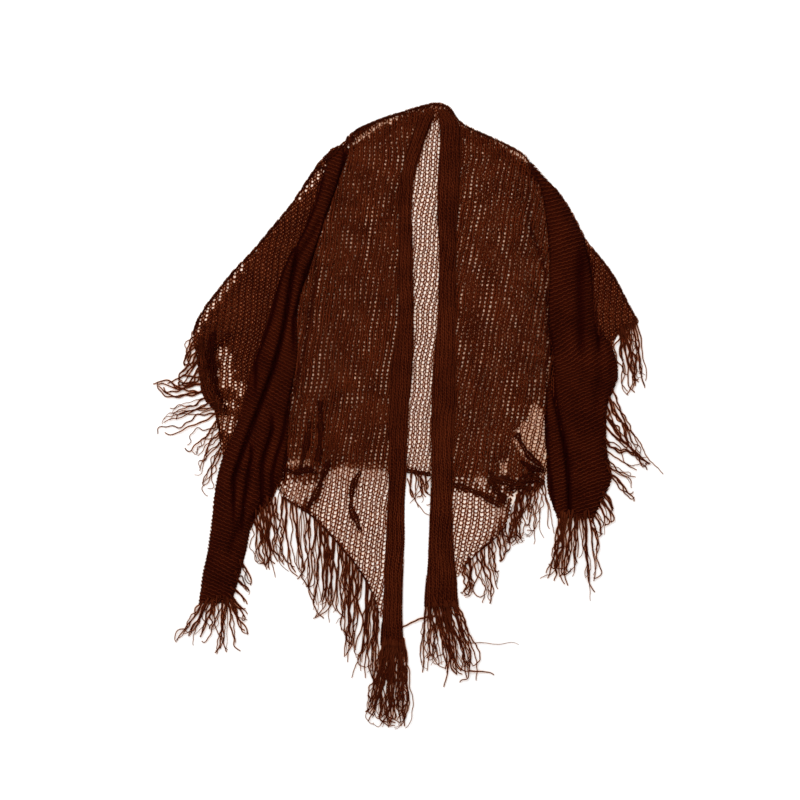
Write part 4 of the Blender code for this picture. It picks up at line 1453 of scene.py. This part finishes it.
class SHAWL_OT_fringe(bpy.types.Operator):
    """Hang the loose strands of every fringe"""

    bl_idname = "shawl.fringe"
    bl_label = "Make the Fringe"

    def execute(self, context):
        scene = context.scene
        fringe = scene.shawl_fringe
        colours = scene.shawl_colours
        loose = yarn_material("fringe_yarn", colours, colours.fringe, colours.shade, False, True)
        for seed, (node, (locks, cloth, count, free)) in enumerate(FRINGES.items()):
            rng = random.Random(FIRST_SEED + seed)
            top = Top(cloth)
            inside = ROOT_GATHERED if cloth in GATHERED else ROOT_INSIDE
            curve = bpy.data.curves.new(node + "_strands", "CURVE")
            curve.dimensions = "3D"
            curve.bevel_depth = fringe.radius
            curve.bevel_resolution = 0
            curve.use_fill_caps = True
            for root, bend, tip, wild in bunches(locks, STRAYS.get(node, ()), count, inside, rng):
                wild *= free * fringe.curl
                points = strand_points(root, bend, tip, rng, wild, rng.uniform(*START_HEIGHT), top)
                spline = curve.splines.new("POLY")
                spline.points.add(len(points) - 1)
                thick = rng.uniform(*THICKNESS)
                for k, point in enumerate(points):
                    spline.points[k].co = (*(point * MM), 1)
                    spline.points[k].radius = thick * (1.0 - TAPER * k / len(points))
            bm = curve_mesh(curve)
            shade_strands(bm)
            dress(add_piece(node + "_strands", bm, node), loose)
        return {"FINISHED"}


class SHAWL_OT_stage(bpy.types.Operator):
    """Set the floor, the soft light and the camera straight above"""

    bl_idname = "shawl.stage"
    bl_label = "Set the Stage"

    def execute(self, context):
        scene = context.scene
        stage = scene.shawl_stage
        scene.view_settings.view_transform = "Standard"
        bm = bmesh.new()
        bmesh.ops.create_grid(bm, x_segments=1, y_segments=1, size=PAPER_HALF)
        mesh = bpy.data.meshes.new("floor")
        bm.to_mesh(mesh)
        bm.free()
        floor = bpy.data.objects.new("floor", mesh)
        scene.collection.objects.link(floor)
        paper = bpy.data.materials.new("white_paper")
        paper.use_nodes = True
        finish = paper.node_tree.nodes["Principled BSDF"].inputs
        finish["Base Color"].default_value = (PAPER_TONE, PAPER_TONE, PAPER_TONE, 1)
        finish["Roughness"].default_value = PAPER_ROUGH
        mesh.materials.append(paper)

        world = bpy.data.worlds.new("studio")
        world.use_nodes = True
        sky = world.node_tree.nodes["Background"].inputs
        sky["Color"].default_value = (1, 1, 1, 1)
        sky["Strength"].default_value = stage.sky
        scene.world = world

        soft_light = bpy.data.lights.new("soft_light", "AREA")
        soft_light.shape = "RECTANGLE"
        soft_light.size, soft_light.size_y = LAMP_SIZE
        soft_light.energy = stage.lamp
        lamp = bpy.data.objects.new("soft_light", soft_light)
        lamp.location = LAMP_PLACE
        lamp.rotation_euler = lamp.location.to_track_quat("Z", "Y").to_euler()
        scene.collection.objects.link(lamp)

        lens = bpy.data.cameras.new("camera")
        lens.sensor_width = SENSOR
        lens.lens = SENSOR * stage.camera_height / stage.view_width
        camera = bpy.data.objects.new("camera", lens)
        camera.location = (*CAMERA_PLACE, stage.camera_height)
        scene.collection.objects.link(camera)
        scene.camera = camera
        return {"FINISHED"}


class SHAWL_PT_panel(bpy.types.Panel):
    """Sizes, colours and steps of the shawl"""

    bl_idname = "SHAWL_PT_panel"
    bl_label = "Knitted Shawl"
    bl_space_type = "VIEW_3D"
    bl_region_type = "UI"
    bl_category = "Shawl"

    def draw(self, context):
        for name, group in GROUPS.items():
            box = self.layout.box()
            for setting in group.__annotations__:
                box.prop(getattr(context.scene, name), setting)
        for operator in OPERATORS:
            self.layout.operator(operator.bl_idname)


GROUPS = {
    "shawl_knit": ShawlKnit,
    "shawl_fringe": ShawlFringe,
    "shawl_colours": ShawlColours,
    "shawl_stage": ShawlStage,
}
OPERATORS = (SHAWL_OT_cloth, SHAWL_OT_fringe, SHAWL_OT_stage)


def register():
    """Adds the settings, the steps and the panel to Blender."""
    for cls in (*GROUPS.values(), *OPERATORS, SHAWL_PT_panel):
        bpy.utils.register_class(cls)
    for name, group in GROUPS.items():
        setattr(bpy.types.Scene, name, PointerProperty(type=group))


def unregister():
    """Takes them out again."""
    for name in GROUPS:
        delattr(bpy.types.Scene, name)
    for cls in reversed((*GROUPS.values(), *OPERATORS, SHAWL_PT_panel)):
        bpy.utils.unregister_class(cls)


def main():
    """Builds the shawl and its studio."""
    register()
    bpy.ops.shawl.cloth()
    bpy.ops.shawl.fringe()
    bpy.ops.shawl.stage()


if __name__ == "__main__":
    main()
